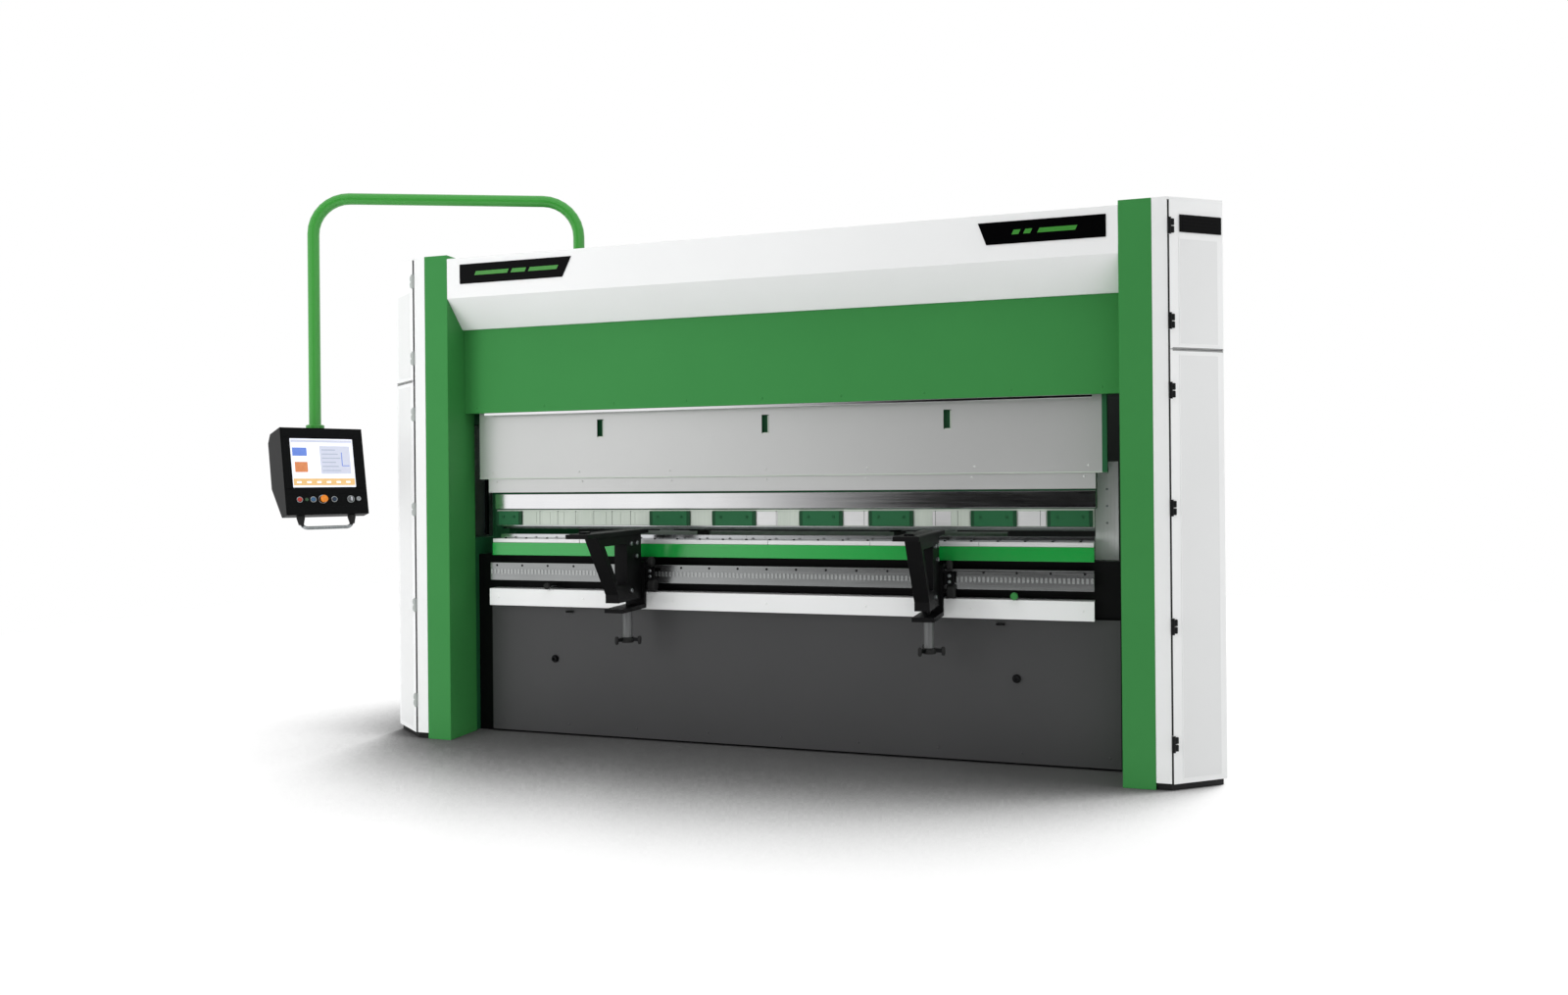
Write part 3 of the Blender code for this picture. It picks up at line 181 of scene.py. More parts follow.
# Pearl-smooth white powder coat of the covers.
WHITE = painted("powder_coat_white", "#F5F6F6", "#F0F1F1", 0.34, 2.0, 0.07)
# The same coat on the doors' pressed-in panels, a shade greyer: painted shade inside the panels' raised rims.
PANEL_SHADE_WHITE = painted("powder_coat_panel_painted_shade", "#E9EAEA", "#E4E5E5", 0.36, 2.0, 0.07)
# Mid grey, matt, on the doors' knuckles and on the strips along their seams: painted shade of the seam gaps.
SEAM_SHADE_GREY = painted("seam_painted_shade_grey", "#9C9D9D", "#939494", 0.55, 2.4, 0.05, 0.2)
# Light grey satin coat of the ram skin: a little metallic sheen.
RAM_GREY = painted("metallic_coat_light_grey", "#D2D3D2", "#CCCDCC", 0.34, 2.4, 0.06, 0.5, 0.55)
# Grey machine enamel of cylinders, tank and gauge parts.
GREY = painted("machine_enamel_grey", "#B4B9B7", "#A9AFAC", 0.36, 4.0, 0.15)
# Dark grey satin coat of the apron: deep, slightly cloudy.
DARK_GREY = painted("powder_coat_dark_grey", "#464647", "#404041", 0.42, 2.4, 0.10, 0.35)
# Fine-texture black coat of the supports and small parts; on the bed's front it is painted shade of the
# recesses round the rails.
BLACK = painted("texture_coat_black", "#0D0D0E", "#080809", 0.46, 1.2, 0.25, 0.12)
# Surface-ground tool steel: long faint grinding lines along the bend line.
GROUND = worked_metal("ground_tool_steel", "#D2D5D4", "#C4C8C6", 0.30, depth=0.08)
# The same steel freshly wiped, on the bars that clamp the die: paler, with a brighter grind.
CLEAN = worked_metal("ground_clamp_steel", "#F0F0F0", "#E6E6E7", 0.34, depth=0.05, metallic=0.45)
# Induction-hardened punch and die: a finer, smoother grind that mirrors what is round it.
HARDENED = worked_metal("hardened_tool_steel", "#DCDDDF", "#CACCCF", 0.14, "X", 0.9, 0.03)
# Finely lapped wedge bar and strip: nearly a mirror, so they take up light and dark from round them.
LAPPED = worked_metal("lapped_gib_steel", "#F2F2F3", "#E8E8EA", 0.12, "X", 1.4, 0.02)
# Hardened rail steel, darker and smoother from its oil film.
RAIL_STEEL = worked_metal("oiled_rail_steel", "#9FA1A1", "#929494", 0.15, depth=0.04)
# Milled rack teeth on the rail: cleaner than the rail round them.
RACK_STEEL = worked_metal("milled_rack_steel", "#B6B8B8", "#A9ACAB", 0.24, depth=0.05, metallic=0.9)
# Satin grey of the supports' columns.
SATIN_GREY = painted("satin_coat_mid_grey", "#6E6F70", "#656667", 0.34, 2.4, 0.08, 0.4, 0.3)
# Satin steel of the holder bar, pale with a faint green cast in its colour: a painted reflection of the green
# paint round it.
HOLDER = worked_metal("satin_holder_steel", "#CFD7CD", "#C0CABF", 0.42, "Z", 2.0, 0.06, 0.2)
# Hard chrome of the piston rods: bright and smooth.
CHROME = worked_metal("hard_chrome", "#E2E4E6", "#D2D5D8", 0.12, "Z", 1.0, 0.03)
# Zinc-plated screws and small steel parts.
ZINC = worked_metal("zinc_plate", "#B9BDBF", "#8F9496", 0.32, "Z", 1.0, 0.10)
# Black-oxide screws and knobs.
OXIDE = worked_metal("black_oxide_steel", "#1E1F20", "#111213", 0.40, "Z", 1.2, 0.10, 0.8)
# Moulded ABS of the control panel: fine grain, low sheen.
ABS = moulded("moulded_abs_black", "#0C0D0E", "#070809", 0.42, 1.0, 0.18, shine=0.08)
# Gloss acrylic of the badges and the vent plate: near black, with a sharp highlight.
GLOSS = moulded("acrylic_black_gloss", "#070708", "#040405", 0.10, 3.0, 0.01, shine=0.08)
# Rubber of seals, grips, knobs and kick strips: dull, hardly any highlight.
RUBBER = moulded("rubber_black", "#161616", "#0F0F0F", 0.72, 1.6, 0.20)
# Polycarbonate caps of the controls: tinted through and glossy; the red and the orange one carry a faint
# painted glow, though neither is a lamp.
RED = moulded("polycarbonate_red", "#B8332A", "#A52A22", 0.22, 2.0, 0.02, 0.10)
LAMP_GREEN = moulded("polycarbonate_green", "#24512C", "#1C4323", 0.24, 2.0, 0.02)
BLUE = moulded("polycarbonate_blue", "#3B6A94", "#2F5A82", 0.24, 2.0, 0.02)
NAVY = moulded("polycarbonate_dark_blue", "#14304F", "#0F2740", 0.26, 2.0, 0.02)
ORANGE = moulded("polycarbonate_orange", "#EE8A1C", "#E07C12", 0.22, 2.0, 0.02, 0.12)
# Grained nylon of the selector and the cabinet devices.
KNOB_GREY = moulded("moulded_nylon_grey", "#6E7072", "#5F6163", 0.48)
# Green bars of the badges, with a faint painted glow; they are no lamps.
BADGE_GREEN = moulded("acrylic_green", "#3F8A35", "#357A2E", 0.25, 2.0, 0.02, 0.15)
# Areas of the lit screen.
SCREEN_WHITE = moulded("screen_white", "#F4F6FF", "#F0F3FC", 0.25, 3.0, 0.0, 0.45)
SCREEN_GREY = moulded("screen_pale_grey", "#CFD2E2", "#C8CCDD", 0.25, 3.0, 0.0, 0.30)
SCREEN_BLUE = moulded("screen_blue", "#6A86CF", "#5674C4", 0.25, 6.0, 0.0, 0.45)
SCREEN_ORANGE = moulded("screen_orange", "#D08A5C", "#BE6C40", 0.25, 6.0, 0.0, 0.45)
SCREEN_SAND = moulded("screen_sand", "#EEC78C", "#E8BB76", 0.25, 6.0, 0.0, 0.25)
SCREEN_LINE = moulded("screen_line", "#AEB6C8", "#A6AEC2", 0.25, 6.0, 0.0, 0.35)


# ---------------------------------------------------------------- shapes

def box(low, high):
    """A block from its low corner to its high corner."""
    shape = bmesh.new()
    bmesh.ops.create_cube(shape, size=1.0)
    low, high = Vector(low), Vector(high)
    size = high - low
    for vert in shape.verts:
        vert.co = Vector([low[i] + (vert.co[i] + 0.5) * size[i] for i in range(3)])
    return shape


def prism(outline, axis, low, high):
    """A closed outline extruded along an axis; the outline's pairs are the other two axes in order."""
    def point(a, b, along):
        return {"X": (along, a, b), "Y": (a, along, b), "Z": (a, b, along)}[axis]

    shape = bmesh.new()
    rings = [[shape.verts.new(point(a, b, along)) for a, b in outline] for along in (low, high)]
    shape.faces.new(rings[0])
    shape.faces.new(rings[1])
    for index in range(len(outline)):
        after = (index + 1) % len(outline)
        shape.faces.new([rings[0][index], rings[0][after], rings[1][after], rings[1][index]])
    return shape


def turned(profile, centre=(0, 0, 0), axis="Z", segments=24):
    """A profile of (radius, height) turned about an axis; it starts and ends on the axis."""
    shape = bmesh.new()
    rings = []
    for radius, height in profile:
        turns = range(segments if radius else 1)
        rings.append([shape.verts.new((radius * math.cos(2 * math.pi * t / segments),
                                       radius * math.sin(2 * math.pi * t / segments), height))
                      for t in turns])
    for low, high in zip(rings, rings[1:]):
        for step in range(segments):
            after = (step + 1) % segments
            loop = [low[step % len(low)], low[after % len(low)],
                    high[after % len(high)], high[step % len(high)]]
            shape.faces.new(list(dict.fromkeys(loop)))
    turn = {"X": Matrix.Rotation(math.pi / 2, 4, "Y"), "Y": Matrix.Rotation(-math.pi / 2, 4, "X"),
            "Z": Matrix.Identity(4)}[axis]
    shape.transform(Matrix.Translation(centre) @ turn)
    return shape


def rod(start, end, radius, segments=16):
    """A round bar with small chamfers from one point to another."""
    start, end = Vector(start), Vector(end)
    length = (end - start).length
    edge = min(radius * 0.2, length * 0.2)
    shape = turned([(0, 0), (radius - edge, 0), (radius, edge), (radius, length - edge),
                    (radius - edge, length), (0, length)], segments=segments)
    shape.transform(Matrix.Translation(start) @ (end - start).to_track_quat("Z", "Y").to_matrix().to_4x4())
    return shape


def facing_front(profile, place, segments=24):
    """A turned shape that stands out of a front face, towards the operator."""
    shape = turned(profile, axis="Y", segments=segments)
    shape.transform(Matrix.Translation(place) @ HALF_TURN)
    return shape


def facing_side(profile, place, side, segments):
    """A turned shape that points to the left (-1) or to the right (1)."""
    shape = turned(profile, axis="X", segments=segments)
    if side < 0:
        shape.transform(HALF_TURN)
    shape.transform(Matrix.Translation(place))
    return shape


def from_node(node):
    """The mesh of a CAD piece with its doubles merged."""
    shape = bmesh.new()
    shape.from_mesh(frame["nodes"][node].data)
    bmesh.ops.remove_doubles(shape, verts=shape.verts, dist=MERGE)
    return shape


def merged(name, shapes):
    """One mesh from several shapes, with their faces turned outwards."""
    whole = bmesh.new()
    for shape in shapes:
        bmesh.ops.recalc_face_normals(shape, faces=shape.faces)
        part = bpy.data.meshes.new("part")
        shape.to_mesh(part)
        shape.free()
        whole.from_mesh(part)
        bpy.data.meshes.remove(part)
    mesh = bpy.data.meshes.new(name)
    whole.to_mesh(mesh)
    whole.free()
    return mesh


def in_scene(name, data):
    """A new object in the scene."""
    made = bpy.data.objects.new(name, data)
    bpy.context.scene.collection.objects.link(made)
    return made


def made_plain(made):
    """Keeps what the modifiers make as the object's own mesh."""
    result = bpy.data.meshes.new_from_object(made.evaluated_get(bpy.context.evaluated_depsgraph_get()))
    made.modifiers.clear()
    made.data = result


def piece(name, shapes, material, body, bevel=0.0, segments=2, standing_for=()):
    """Merges shapes into one object, bevels it, and gives it to a CAD body."""
    made = in_scene(name, merged(name, shapes))
    made.data.materials.append(material)
    settle(made, bevel, segments)
    return ride(made, body, standing_for)


def settle(made, bevel, segments=2):
    """Rounds the sharp edges and shades the piece smooth, as a plain mesh."""
    if bevel:
        rounding = made.modifiers.new("rounding", "BEVEL")
        rounding.width = bevel
        rounding.segments = segments
        rounding.limit_method = "ANGLE"
        rounding.angle_limit = SHARP
        rounding.harden_normals = True
        view = bpy.context.evaluated_depsgraph_get()
        made.data.shade_smooth()
        rounded = bpy.data.meshes.new_from_object(made.evaluated_get(view))
        made.modifiers.clear()
        made.data = rounded
    else:
        made.data.shade_smooth()
        made.data.set_sharp_from_angle(angle=SHARP)


def ride(made, body, standing_for=()):
    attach(made, body)
    if standing_for:
        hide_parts(*standing_for)
    return made


def cut(made, shapes):
    """Takes the shapes out of a piece, as a plain mesh."""
    cutter = in_scene("cutter", merged("cutter", shapes))
    opening = made.modifiers.new("openings", "BOOLEAN")
    opening.operation = "DIFFERENCE"
    opening.solver = "EXACT"
    opening.object = cutter
    made_plain(made)
    bpy.data.objects.remove(cutter)


def refined(node, material, bevel=0.0008, segments=2, openings=()):
    """A copy of a CAD piece with rounded edges and any small openings, standing for it."""
    shape = from_node(node)
    bmesh.ops.dissolve_limit(shape, angle_limit=FLAT, verts=shape.verts, edges=shape.edges)
    mesh = bpy.data.meshes.new(node + "_finished")
    shape.to_mesh(mesh)
    shape.free()
    made = in_scene(node + "_finished", mesh)
    mesh.materials.clear()
    mesh.materials.append(material)
    if openings:
        cut(made, openings)
    settle(made, bevel, segments)
    return ride(made, BODY_OF[node], (node,))


def paint_where(made, material, wanted):
    """Gives another finish to the faces whose centre the test accepts."""
    made.data.materials.append(material)
    index = len(made.data.materials) - 1
    for face in made.data.polygons:
        if wanted(face.center, face.normal):
            face.material_index = index


# ---------------------------------------------------------------- geometry nodes

def parts_tree(name, kinds):
    """A tree with the given inputs: the tree, the inputs' identifiers and their sockets inside it."""
    tree = bpy.data.node_groups.new(name, "GeometryNodeTree")
    made = {label: tree.interface.new_socket(label, in_out="INPUT", socket_type="NodeSocket" + kind)
            for label, kind in kinds.items()}
    sockets = {label: socket.identifier for label, socket in made.items()}
    tree.interface.new_socket("Geometry", in_out="OUTPUT", socket_type="NodeSocketGeometry")
    return tree, sockets, add_node(tree, "NodeGroupInput").outputs


def close_tree(tree, copies, material):
    """Makes the copies real and gives them their material."""
    real = add_node(tree, "GeometryNodeRealizeInstances", {"Geometry": copies})
    finished = add_node(tree, "GeometryNodeSetMaterial",
                        {"Geometry": real.outputs["Geometry"], "Material": material})
    add_node(tree, "NodeGroupOutput", {"Geometry": finished.outputs["Geometry"]})


def row_tree():
    """Copies of a shape from a start to an end point."""
    tree, sockets, given = parts_tree("row_of_parts", {
        "Shape": "Object", "Start": "Vector", "End": "Vector", "Count": "Int", "Turn": "Vector",
        "Material": "Material"})
    line = add_node(tree, "GeometryNodeMeshLine",
                    {"Count": given["Count"], "Start Location": given["Start"], "Offset": given["End"]},
                    mode="END_POINTS")
    shape = add_node(tree, "GeometryNodeObjectInfo", {"Object": given["Shape"]})
    copies = add_node(tree, "GeometryNodeInstanceOnPoints",
                      {"Points": line.outputs["Mesh"], "Instance": shape.outputs["Geometry"],
                       "Rotation": given["Turn"]})
    close_tree(tree, copies.outputs["Instances"], given["Material"])
    return tree, sockets


def ring_tree():
    """Copies of a shape round a circle about a centre."""
    tree, sockets, given = parts_tree("ring_of_parts", {
        "Shape": "Object", "Centre": "Vector", "Radius": "Float", "Count": "Int", "Turn": "Vector",
        "Material": "Material"})
    circle = add_node(tree, "GeometryNodeMeshCircle", {"Vertices": given["Count"], "Radius": given["Radius"]})
    shape = add_node(tree, "GeometryNodeObjectInfo", {"Object": given["Shape"]})
    copies = add_node(tree, "GeometryNodeInstanceOnPoints",
                      {"Points": circle.outputs["Mesh"], "Instance": shape.outputs["Geometry"]})
    placed = add_node(tree, "GeometryNodeTransform",
                      {"Geometry": copies.outputs["Instances"], "Translation": given["Centre"],
                       "Rotation": given["Turn"]})
    close_tree(tree, placed.outputs["Geometry"], given["Material"])
    return tree, sockets


TEMPLATES = []
ROW = row_tree()
RING = ring_tree()


def template(name, shapes):
    """A shape for a geometry-nodes row; it is removed at the end."""
    made = in_scene(name, merged(name, shapes))
    TEMPLATES.append(made)
    return made


def grown(name, tree_and_sockets, values, body):
    """Runs a geometry-nodes tree with the given values and keeps its result as a plain mesh."""
    tree, sockets = tree_and_sockets
    holder = bpy.data.objects.new(name, bpy.data.meshes.new(name))
    change = holder.modifiers.new("parts", "NODES")
    change.node_group = tree
    for key, value in values.items():
        change[sockets[key]] = value
    bpy.context.scene.collection.objects.link(holder)
    made_plain(holder)
    holder.data.shade_smooth()
    holder.data.set_sharp_from_angle(angle=SHARP)
    return ride(holder, body)


def row(name, shape, start, end, count, material, body, turn=(0, 0, 0)):
    return grown(name, ROW, {"Shape": shape, "Start": start, "End": end, "Count": count, "Turn": turn,
                             "Material": material}, body)


def front_row(name, shape, reach, y, z, count, material, body="frame"):
    """A level row that faces the operator, from -reach to +reach along the bend line."""
    return row(name, shape, (-reach, y, z), (reach, y, z), count, material, body, TO_FRONT)


def ring(name, shape, centre, radius, count, material, body, turn=(0, 0, 0)):
    return grown(name, RING, {"Shape": shape, "Centre": centre, "Radius": radius, "Count": count,
                              "Turn": turn, "Material": material}, body)


def socket_screw(name, radius, height):
    """Cap screw with a hexagon socket, pointing up +Z from its seat."""
    inner = radius * 0.52
    head = turned([(0, 0), (radius, 0), (radius, height * 0.85), (radius * 0.88, height),
                   (inner, height), (inner, height * 0.45), (0, height * 0.45)], segments=16)
    return template(name, [head])


def dome_screw(name, radius, height):
    steps = [(radius * math.cos(a), height * math.sin(a)) for a in (0, 0.45, 0.9, 1.25)]
    return template(name, [turned([(0, -0.001), (radius, -0.001)] + steps + [(0, height)], segments=14)])


CAP_M6 = socket_screw("cap_screw_small", 0.006, 0.006)
CAP_M10 = socket_screw("cap_screw_medium", 0.009, 0.010)
CAP_M16 = socket_screw("cap_screw_large", 0.014, 0.016)
DOME = dome_screw("dome_screw", 0.006, 0.003)
FLAT_SCREW = dome_screw("flat_screw", 0.006, 0.0003)


# ---------------------------------------------------------------- casings

SLANT_DEPTH = 0.161                    # how far a door's slanted face runs back
VENT_HEIGHTS = (0.55, 1.95)            # lowest slot of each group in a side cover
VENT_PITCH, VENT_COUNT = 0.27 / 7, 8
VENT_HALF, VENT_SLOT = 0.12, 0.013     # half a slot's length, and its height
COVER_SCREWS_LOW, COVER_SCREWS_HIGH, COVER_SCREW_COUNT = 0.12, 2.38, 6
SCREW_SUNK = 0.0033                    # a cover screw's seat under the sheet's face
HINGE_HALF, LOBE_HALF = 0.016, 0.014   # a hinge's middle to a lobe's, and half a lobe's height
LOWER_HINGES = (0.198, 0.692, 1.190, 1.684)
UPPER_HINGES_DOWN = (0.112, 0.512)     # below the upper door's top edge
KNUCKLE = 0.0083                       # just past a knuckle's radius
ON_DOOR = 0.0002                       # gap between a fitting and a door's slanted face


def chamfer_pose(side):
    """Matrix of a door's slanted face, X along it from the hinge, Y outwards, Z up, and its width."""
    hinge = JOINT_OF["door_lower_right_hinge"]["pos_m"]
    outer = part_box("door_lower_right")[1].x
    start = Vector((side * hinge[0], hinge[1], 0))
    end = Vector((side * outer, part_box("column_post_right")[0].y + SLANT_DEPTH, 0))
    along = (end - start).normalized()
    out = Vector((side * abs(along.y), -abs(along.x), 0))
    pose = Matrix((along, out, (0, 0, 1))).transposed().to_4x4()
    return Matrix.Translation(start) @ pose, (end - start).length


def make_columns():
    for name, side in SIDES:
        refined("side_frame_" + name, DARK_GREEN, 0.004)
        refined("column_front_" + name, GREEN, 0.0022, 3)
        refined("column_post_" + name, WHITE, 0.0011)
        make_side_cover(name, side)
        make_plinth(name, side)


def make_side_cover(name, side):
    """White side cover with two groups of louvres and a row of sunk screws near its rear edge."""
    low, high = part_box("side_cover_" + name)
    outer = side * max(abs(low.x), abs(high.x))
    vent_y, screw_y = high.y - 0.34, high.y - 0.045
    x0, x1 = sorted((outer - side * 0.02, outer + side * 0.01))
    slots = [box((x0, vent_y - VENT_HALF, z), (x1, vent_y + VENT_HALF, z + VENT_SLOT))
             for z in [low_z + VENT_PITCH * step for low_z in VENT_HEIGHTS for step in range(VENT_COUNT)]]
    rise = COVER_SCREWS_HIGH - COVER_SCREWS_LOW
    heights = [COVER_SCREWS_LOW + rise * step / (COVER_SCREW_COUNT - 1) for step in range(COVER_SCREW_COUNT)]
    floor = outer - side * (SCREW_SUNK + 0.0001)
    seats = [rod((floor, screw_y, z), (outer + side * 0.01, screw_y, z), 0.0072) for z in heights]
    refined("side_cover_" + name, WHITE, 0.0, openings=slots + seats)
    section = [(-0.0008, 0.0126), (-0.0008, 0.0100), (-0.0220, -0.0080), (-0.0220, -0.0054)]
    blade = template("louvre_" + name, [prism(section, "Y", 0.001 - VENT_HALF, VENT_HALF - 0.001)])
    turn = (0, 0, 0) if side > 0 else (0, 0, math.pi)
    for group, z in enumerate(VENT_HEIGHTS):
        last = z + VENT_PITCH * (VENT_COUNT - 1)
        row(f"side_louvres_{name}_{group}", blade, (outer, vent_y, z), (outer, vent_y, last), VENT_COUNT,
            WHITE, "frame", turn)
    seat = outer - side * SCREW_SUNK
    row(f"side_cover_screws_{name}", DOME, (seat, screw_y, COVER_SCREWS_LOW),
        (seat, screw_y, COVER_SCREWS_HIGH), COVER_SCREW_COUNT, ZINC, "frame",
        (0, side * math.pi / 2, 0))


def make_plinth(name, side):
    """Recessed dark kick strip between the floor and the white covers."""
    post_low, post_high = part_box("column_post_right")
    door_low, door_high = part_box("door_lower_right")
    front_y, inner = post_low.y + 0.012, post_low.x + 0.004
    outer, slant_y = door_high.x - 0.014, post_low.y + 0.168
    rear_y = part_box("side_cover_" + name)[1].y - 0.02
    wall = 0.012
    outline = [(inner, front_y + 0.05), (inner, front_y), (post_high.x, front_y), (outer, slant_y),
               (outer, rear_y), (outer - wall, rear_y), (outer - wall, slant_y + wall / 2),
               (post_high.x - wall / 3, front_y + wall), (inner + wall, front_y + wall),
               (inner + wall, front_y + 0.05)]
    piece("plinth_" + name, [prism([(side * x, y) for x, y in outline], "Z", 0.001, door_low.z + 0.012)],
          RUBBER, "frame", 0.001)


def make_doors():
    for name, side in SIDES:
        for level in ("lower", "upper"):
            make_door(level, name, side)
    make_vent_plate()
    # dark seals behind the seams keep the light out of the columns
    hinge = JOINT_OF["door_lower_right_hinge"]["pos_m"]
    for name, side in SIDES:
        x0, x1 = sorted((side * (hinge[0] - 0.016), side * (hinge[0] - 0.001)))
        seal = box((x0, hinge[1] + 0.0098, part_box("door_lower_right")[0].z),
                   (x1, hinge[1] + 0.0128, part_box("door_upper_right")[1].z - 0.004))
        piece("door_seal_" + name, [seal], RUBBER, "frame")


def make_door(level, name, side):
    """One slanted door with its hinges, trim and locks."""
    node = f"door_{level}_{name}"
    body = BODY_OF[node]
    pose, width = chamfer_pose(side)
    door = refined(node, WHITE, 0.0, openings=[
        rod((x - side * 0.03, y, z), (x + side * 0.01, y, z), 0.0118, 20)
        for x, y, z in latch_places(node, side)])
    pivot = JOINT_OF[node + "_hinge"]["pos_m"]
    low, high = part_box(node)
    heights = LOWER_HINGES if level == "lower" else [high.z - down for down in UPPER_HINGES_DOWN]
    finish = OXIDE if side > 0 else GREY

    def on_knuckle(centre, normal):
        return math.hypot(centre.x - pivot[0], centre.y - pivot[1]) < KNUCKLE and centre.y < pivot[1] + 0.002

    def on_hinge(centre, normal):
        return on_knuckle(centre, normal) and min(abs(centre.z - z) for z in heights) < 0.03

    # the knuckles' grey is painted shade of the seam beside them
    paint_where(door, SEAM_SHADE_GREY, on_knuckle)
    paint_where(door, finish, on_hinge)
    # each hinge is a pair of rounded lobes on the seam, one screw in each
    lobes, screws = [], []
    for z in [z + shift for z in heights for shift in (-HINGE_HALF, HINGE_HALF)]:
        lobe = box((0.004, ON_DOOR, z - LOBE_HALF), (0.021, 0.0075, z + LOBE_HALF))
        lobe.transform(pose)
        lobes.append(lobe)
        head = turned([(0, 0), (0.0042, 0), (0.0042, 0.0012), (0.0032, 0.002), (0, 0.002)],
                      axis="Y", segments=12)
        head.transform(pose @ Matrix.Translation((0.0125, 0.0072, z)))
        screws.append(head)
    piece(f"hinge_leaves_{level}_{name}", lobes, finish, body, 0.0030, 3)
    piece(f"hinge_screws_{level}_{name}", screws, finish, body)
    make_door_trim(level, name, pose, width, body)
    make_latches(node, side, body)


def make_door_trim(level, name, pose, width, body):
    """Pressed-in panel on a door's slanted face, and a grey strip along its seam whose colour is painted
    shade of the gap.
    """
    low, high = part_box(f"door_{level}_{name}")
    top = high.z - (0.165 if level == "upper" else 0.024)
    left, right, bottom = 0.050, width - 0.030, low.z + 0.022
    rim, proud = 0.004, 0.0011
    edges = [box((left - rim, ON_DOOR, bottom - rim), (left, proud, top + rim)),
             box((right, ON_DOOR, bottom - rim), (right + rim, proud, top + rim)),
             box((left, ON_DOOR, bottom - rim), (right, proud, bottom)),
             box((left, ON_DOOR, top), (right, proud, top + rim))]
    panel = box((left, ON_DOOR, bottom), (right, 0.0009, top))
    z0, z1 = (low.z + 0.0004, low.z + 0.006) if level == "upper" else (high.z - 0.006, high.z - 0.0004)
    lip = box((0.012, ON_DOOR, z0), (width - 0.003, proud, z1))
    for shape in edges + [panel, lip]:
        shape.transform(pose)
    # the panel's greyer coat is painted shade
    piece(f"door_panel_{level}_{name}", [panel], PANEL_SHADE_WHITE, body)
    piece(f"door_panel_edge_{level}_{name}", edges, WHITE, body, 0.0003)
    # the seam strip's grey is painted shade
    piece(f"door_seal_lip_{level}_{name}", [lip], SEAM_SHADE_GREY, body, 0.0003)


def latch_places(node, side):
    """Points on a door's outer face where its locks sit."""
    low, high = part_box(node)
    count = 3 if high.z - low.z > 1 else 2
    return [(side * max(abs(low.x), abs(high.x)), high.y - 0.030,
             low.z + 0.10 + (high.z - low.z - 0.20) * index / (count - 1)) for index in range(count)]


def make_latches(node, side, body):
    """Quarter-turn locks with a coin slot near a door's rear edge."""
    lock = [(0, -0.010), (0.011, -0.010), (0.011, -0.0012), (0.009, -0.0003), (0.0045, -0.0003),
            (0.0045, -0.0026), (0, -0.0026)]
    shapes = [facing_side(lock, place, side, 20) for place in latch_places(node, side)]
    piece(node + "_latches", shapes, OXIDE, body)


def make_vent_plate():
    """Black vented plate on the right upper door's slanted face."""
    pose, width = chamfer_pose(1)
    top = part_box("door_upper_right")[1].z
    z0, z1 = top - 0.136, top - 0.062
    plate = box((0.050, 0.0003, z0), (width - 0.010, 0.005, z1))
    heights = [z0 + 0.010 + index * 0.0155 for index in range(4)]
    slats = [box((0.062, 0.005, z), (width - 0.022, 0.0068, z + 0.007)) for z in heights]
    for shape in [plate] + slats:
        shape.transform(pose)
    piece("vent_plate", [plate], GLOSS, "door_upper_right", 0.0015)
    piece("vent_slats", slats, GLOSS, "door_upper_right", 0.001)


def make_badge(name, xs, down, slant, lit):
    """Black gloss plate with a slanted end and plain green bars with a painted glow; it carries no lettering.
    """
    low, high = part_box("upper_cover")
    front = low.y
    (x0, x1), (z0, z1) = xs, [high.z - below for below in down]
    outline = [(x0 + max(-slant, 0), z0), (x1 - max(slant, 0), z0), (x1, z1), (x0, z1)]
    piece("badge_" + name, [prism(outline, "Y", front - 0.004, front - LIFT_OFF)], GLOSS, "frame",
          0.0012)
    middle, lean, half = (z0 + z1) / 2, 0.010, 0.010
    bars = [prism([(start, middle - half), (end, middle - half), (end + lean, middle + half),
                   (start + lean, middle + half)], "Y", front - 0.0052, front - 0.0038)
            for start, end in lit]
    piece("badge_light_" + name, bars, BADGE_GREEN, "frame", 0.0004)


def make_covers():
    """White and green covers with their plates, screws, bright edge strip and inner ribs."""
    refined("upper_cover", WHITE, 0.0012, 3)
    refined("front_cover", GREEN, 0.0012, 3)
    low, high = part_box("upper_cover")
    make_badge("left", (-1.578, -0.940), (0.135, 0.035), 0.050,
               [(-1.49, -1.30), (-1.28, -1.20), (-1.18, -1.02)])
    make_badge("right", (1.064, 1.607), (0.132, 0.034), -0.036,
               [(1.21, 1.24), (1.26, 1.29), (1.32, 1.48)])
    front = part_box("front_cover")[0]
    front_row("front_cover_screws", DOME, 1.58, front.y, front.z + 0.030, 9, GREEN, "frame")
    strip = box((-1.54, front.y + 0.001, front.z - 0.014), (1.54, front.y + 0.009, front.z - 0.0005))
    piece("cover_edge_strip", [strip], LAPPED, "frame", 0.0015)
    ribs = [box((x - 0.004, low.y + 0.004, high.z - 0.20), (x + 0.004, low.y + 0.060, high.z - 0.004))
            for x in (-1.1, -0.37, 0.37, 1.1)]
    piece("cover_ribs", ribs, WHITE, "frame")


# ---------------------------------------------------------------- ram and tools

PUNCH_LENGTHS = (0.2, 0.1, 0.3, 0.5, 0.5, 0.5, 0.5, 0.38, 0.1)
DIE_LENGTHS = (0.5, 0.5, 0.4, 0.1, 0.2, 0.5, 0.5, 0.38)
SKIN_SLOTS = (-0.890, 0.0, 0.890)      # the narrow upright openings in the ram's front skin
JOINT_PITCH, PAD_PITCH = 0.105, 0.08   # of the seams and pads on the holder bar


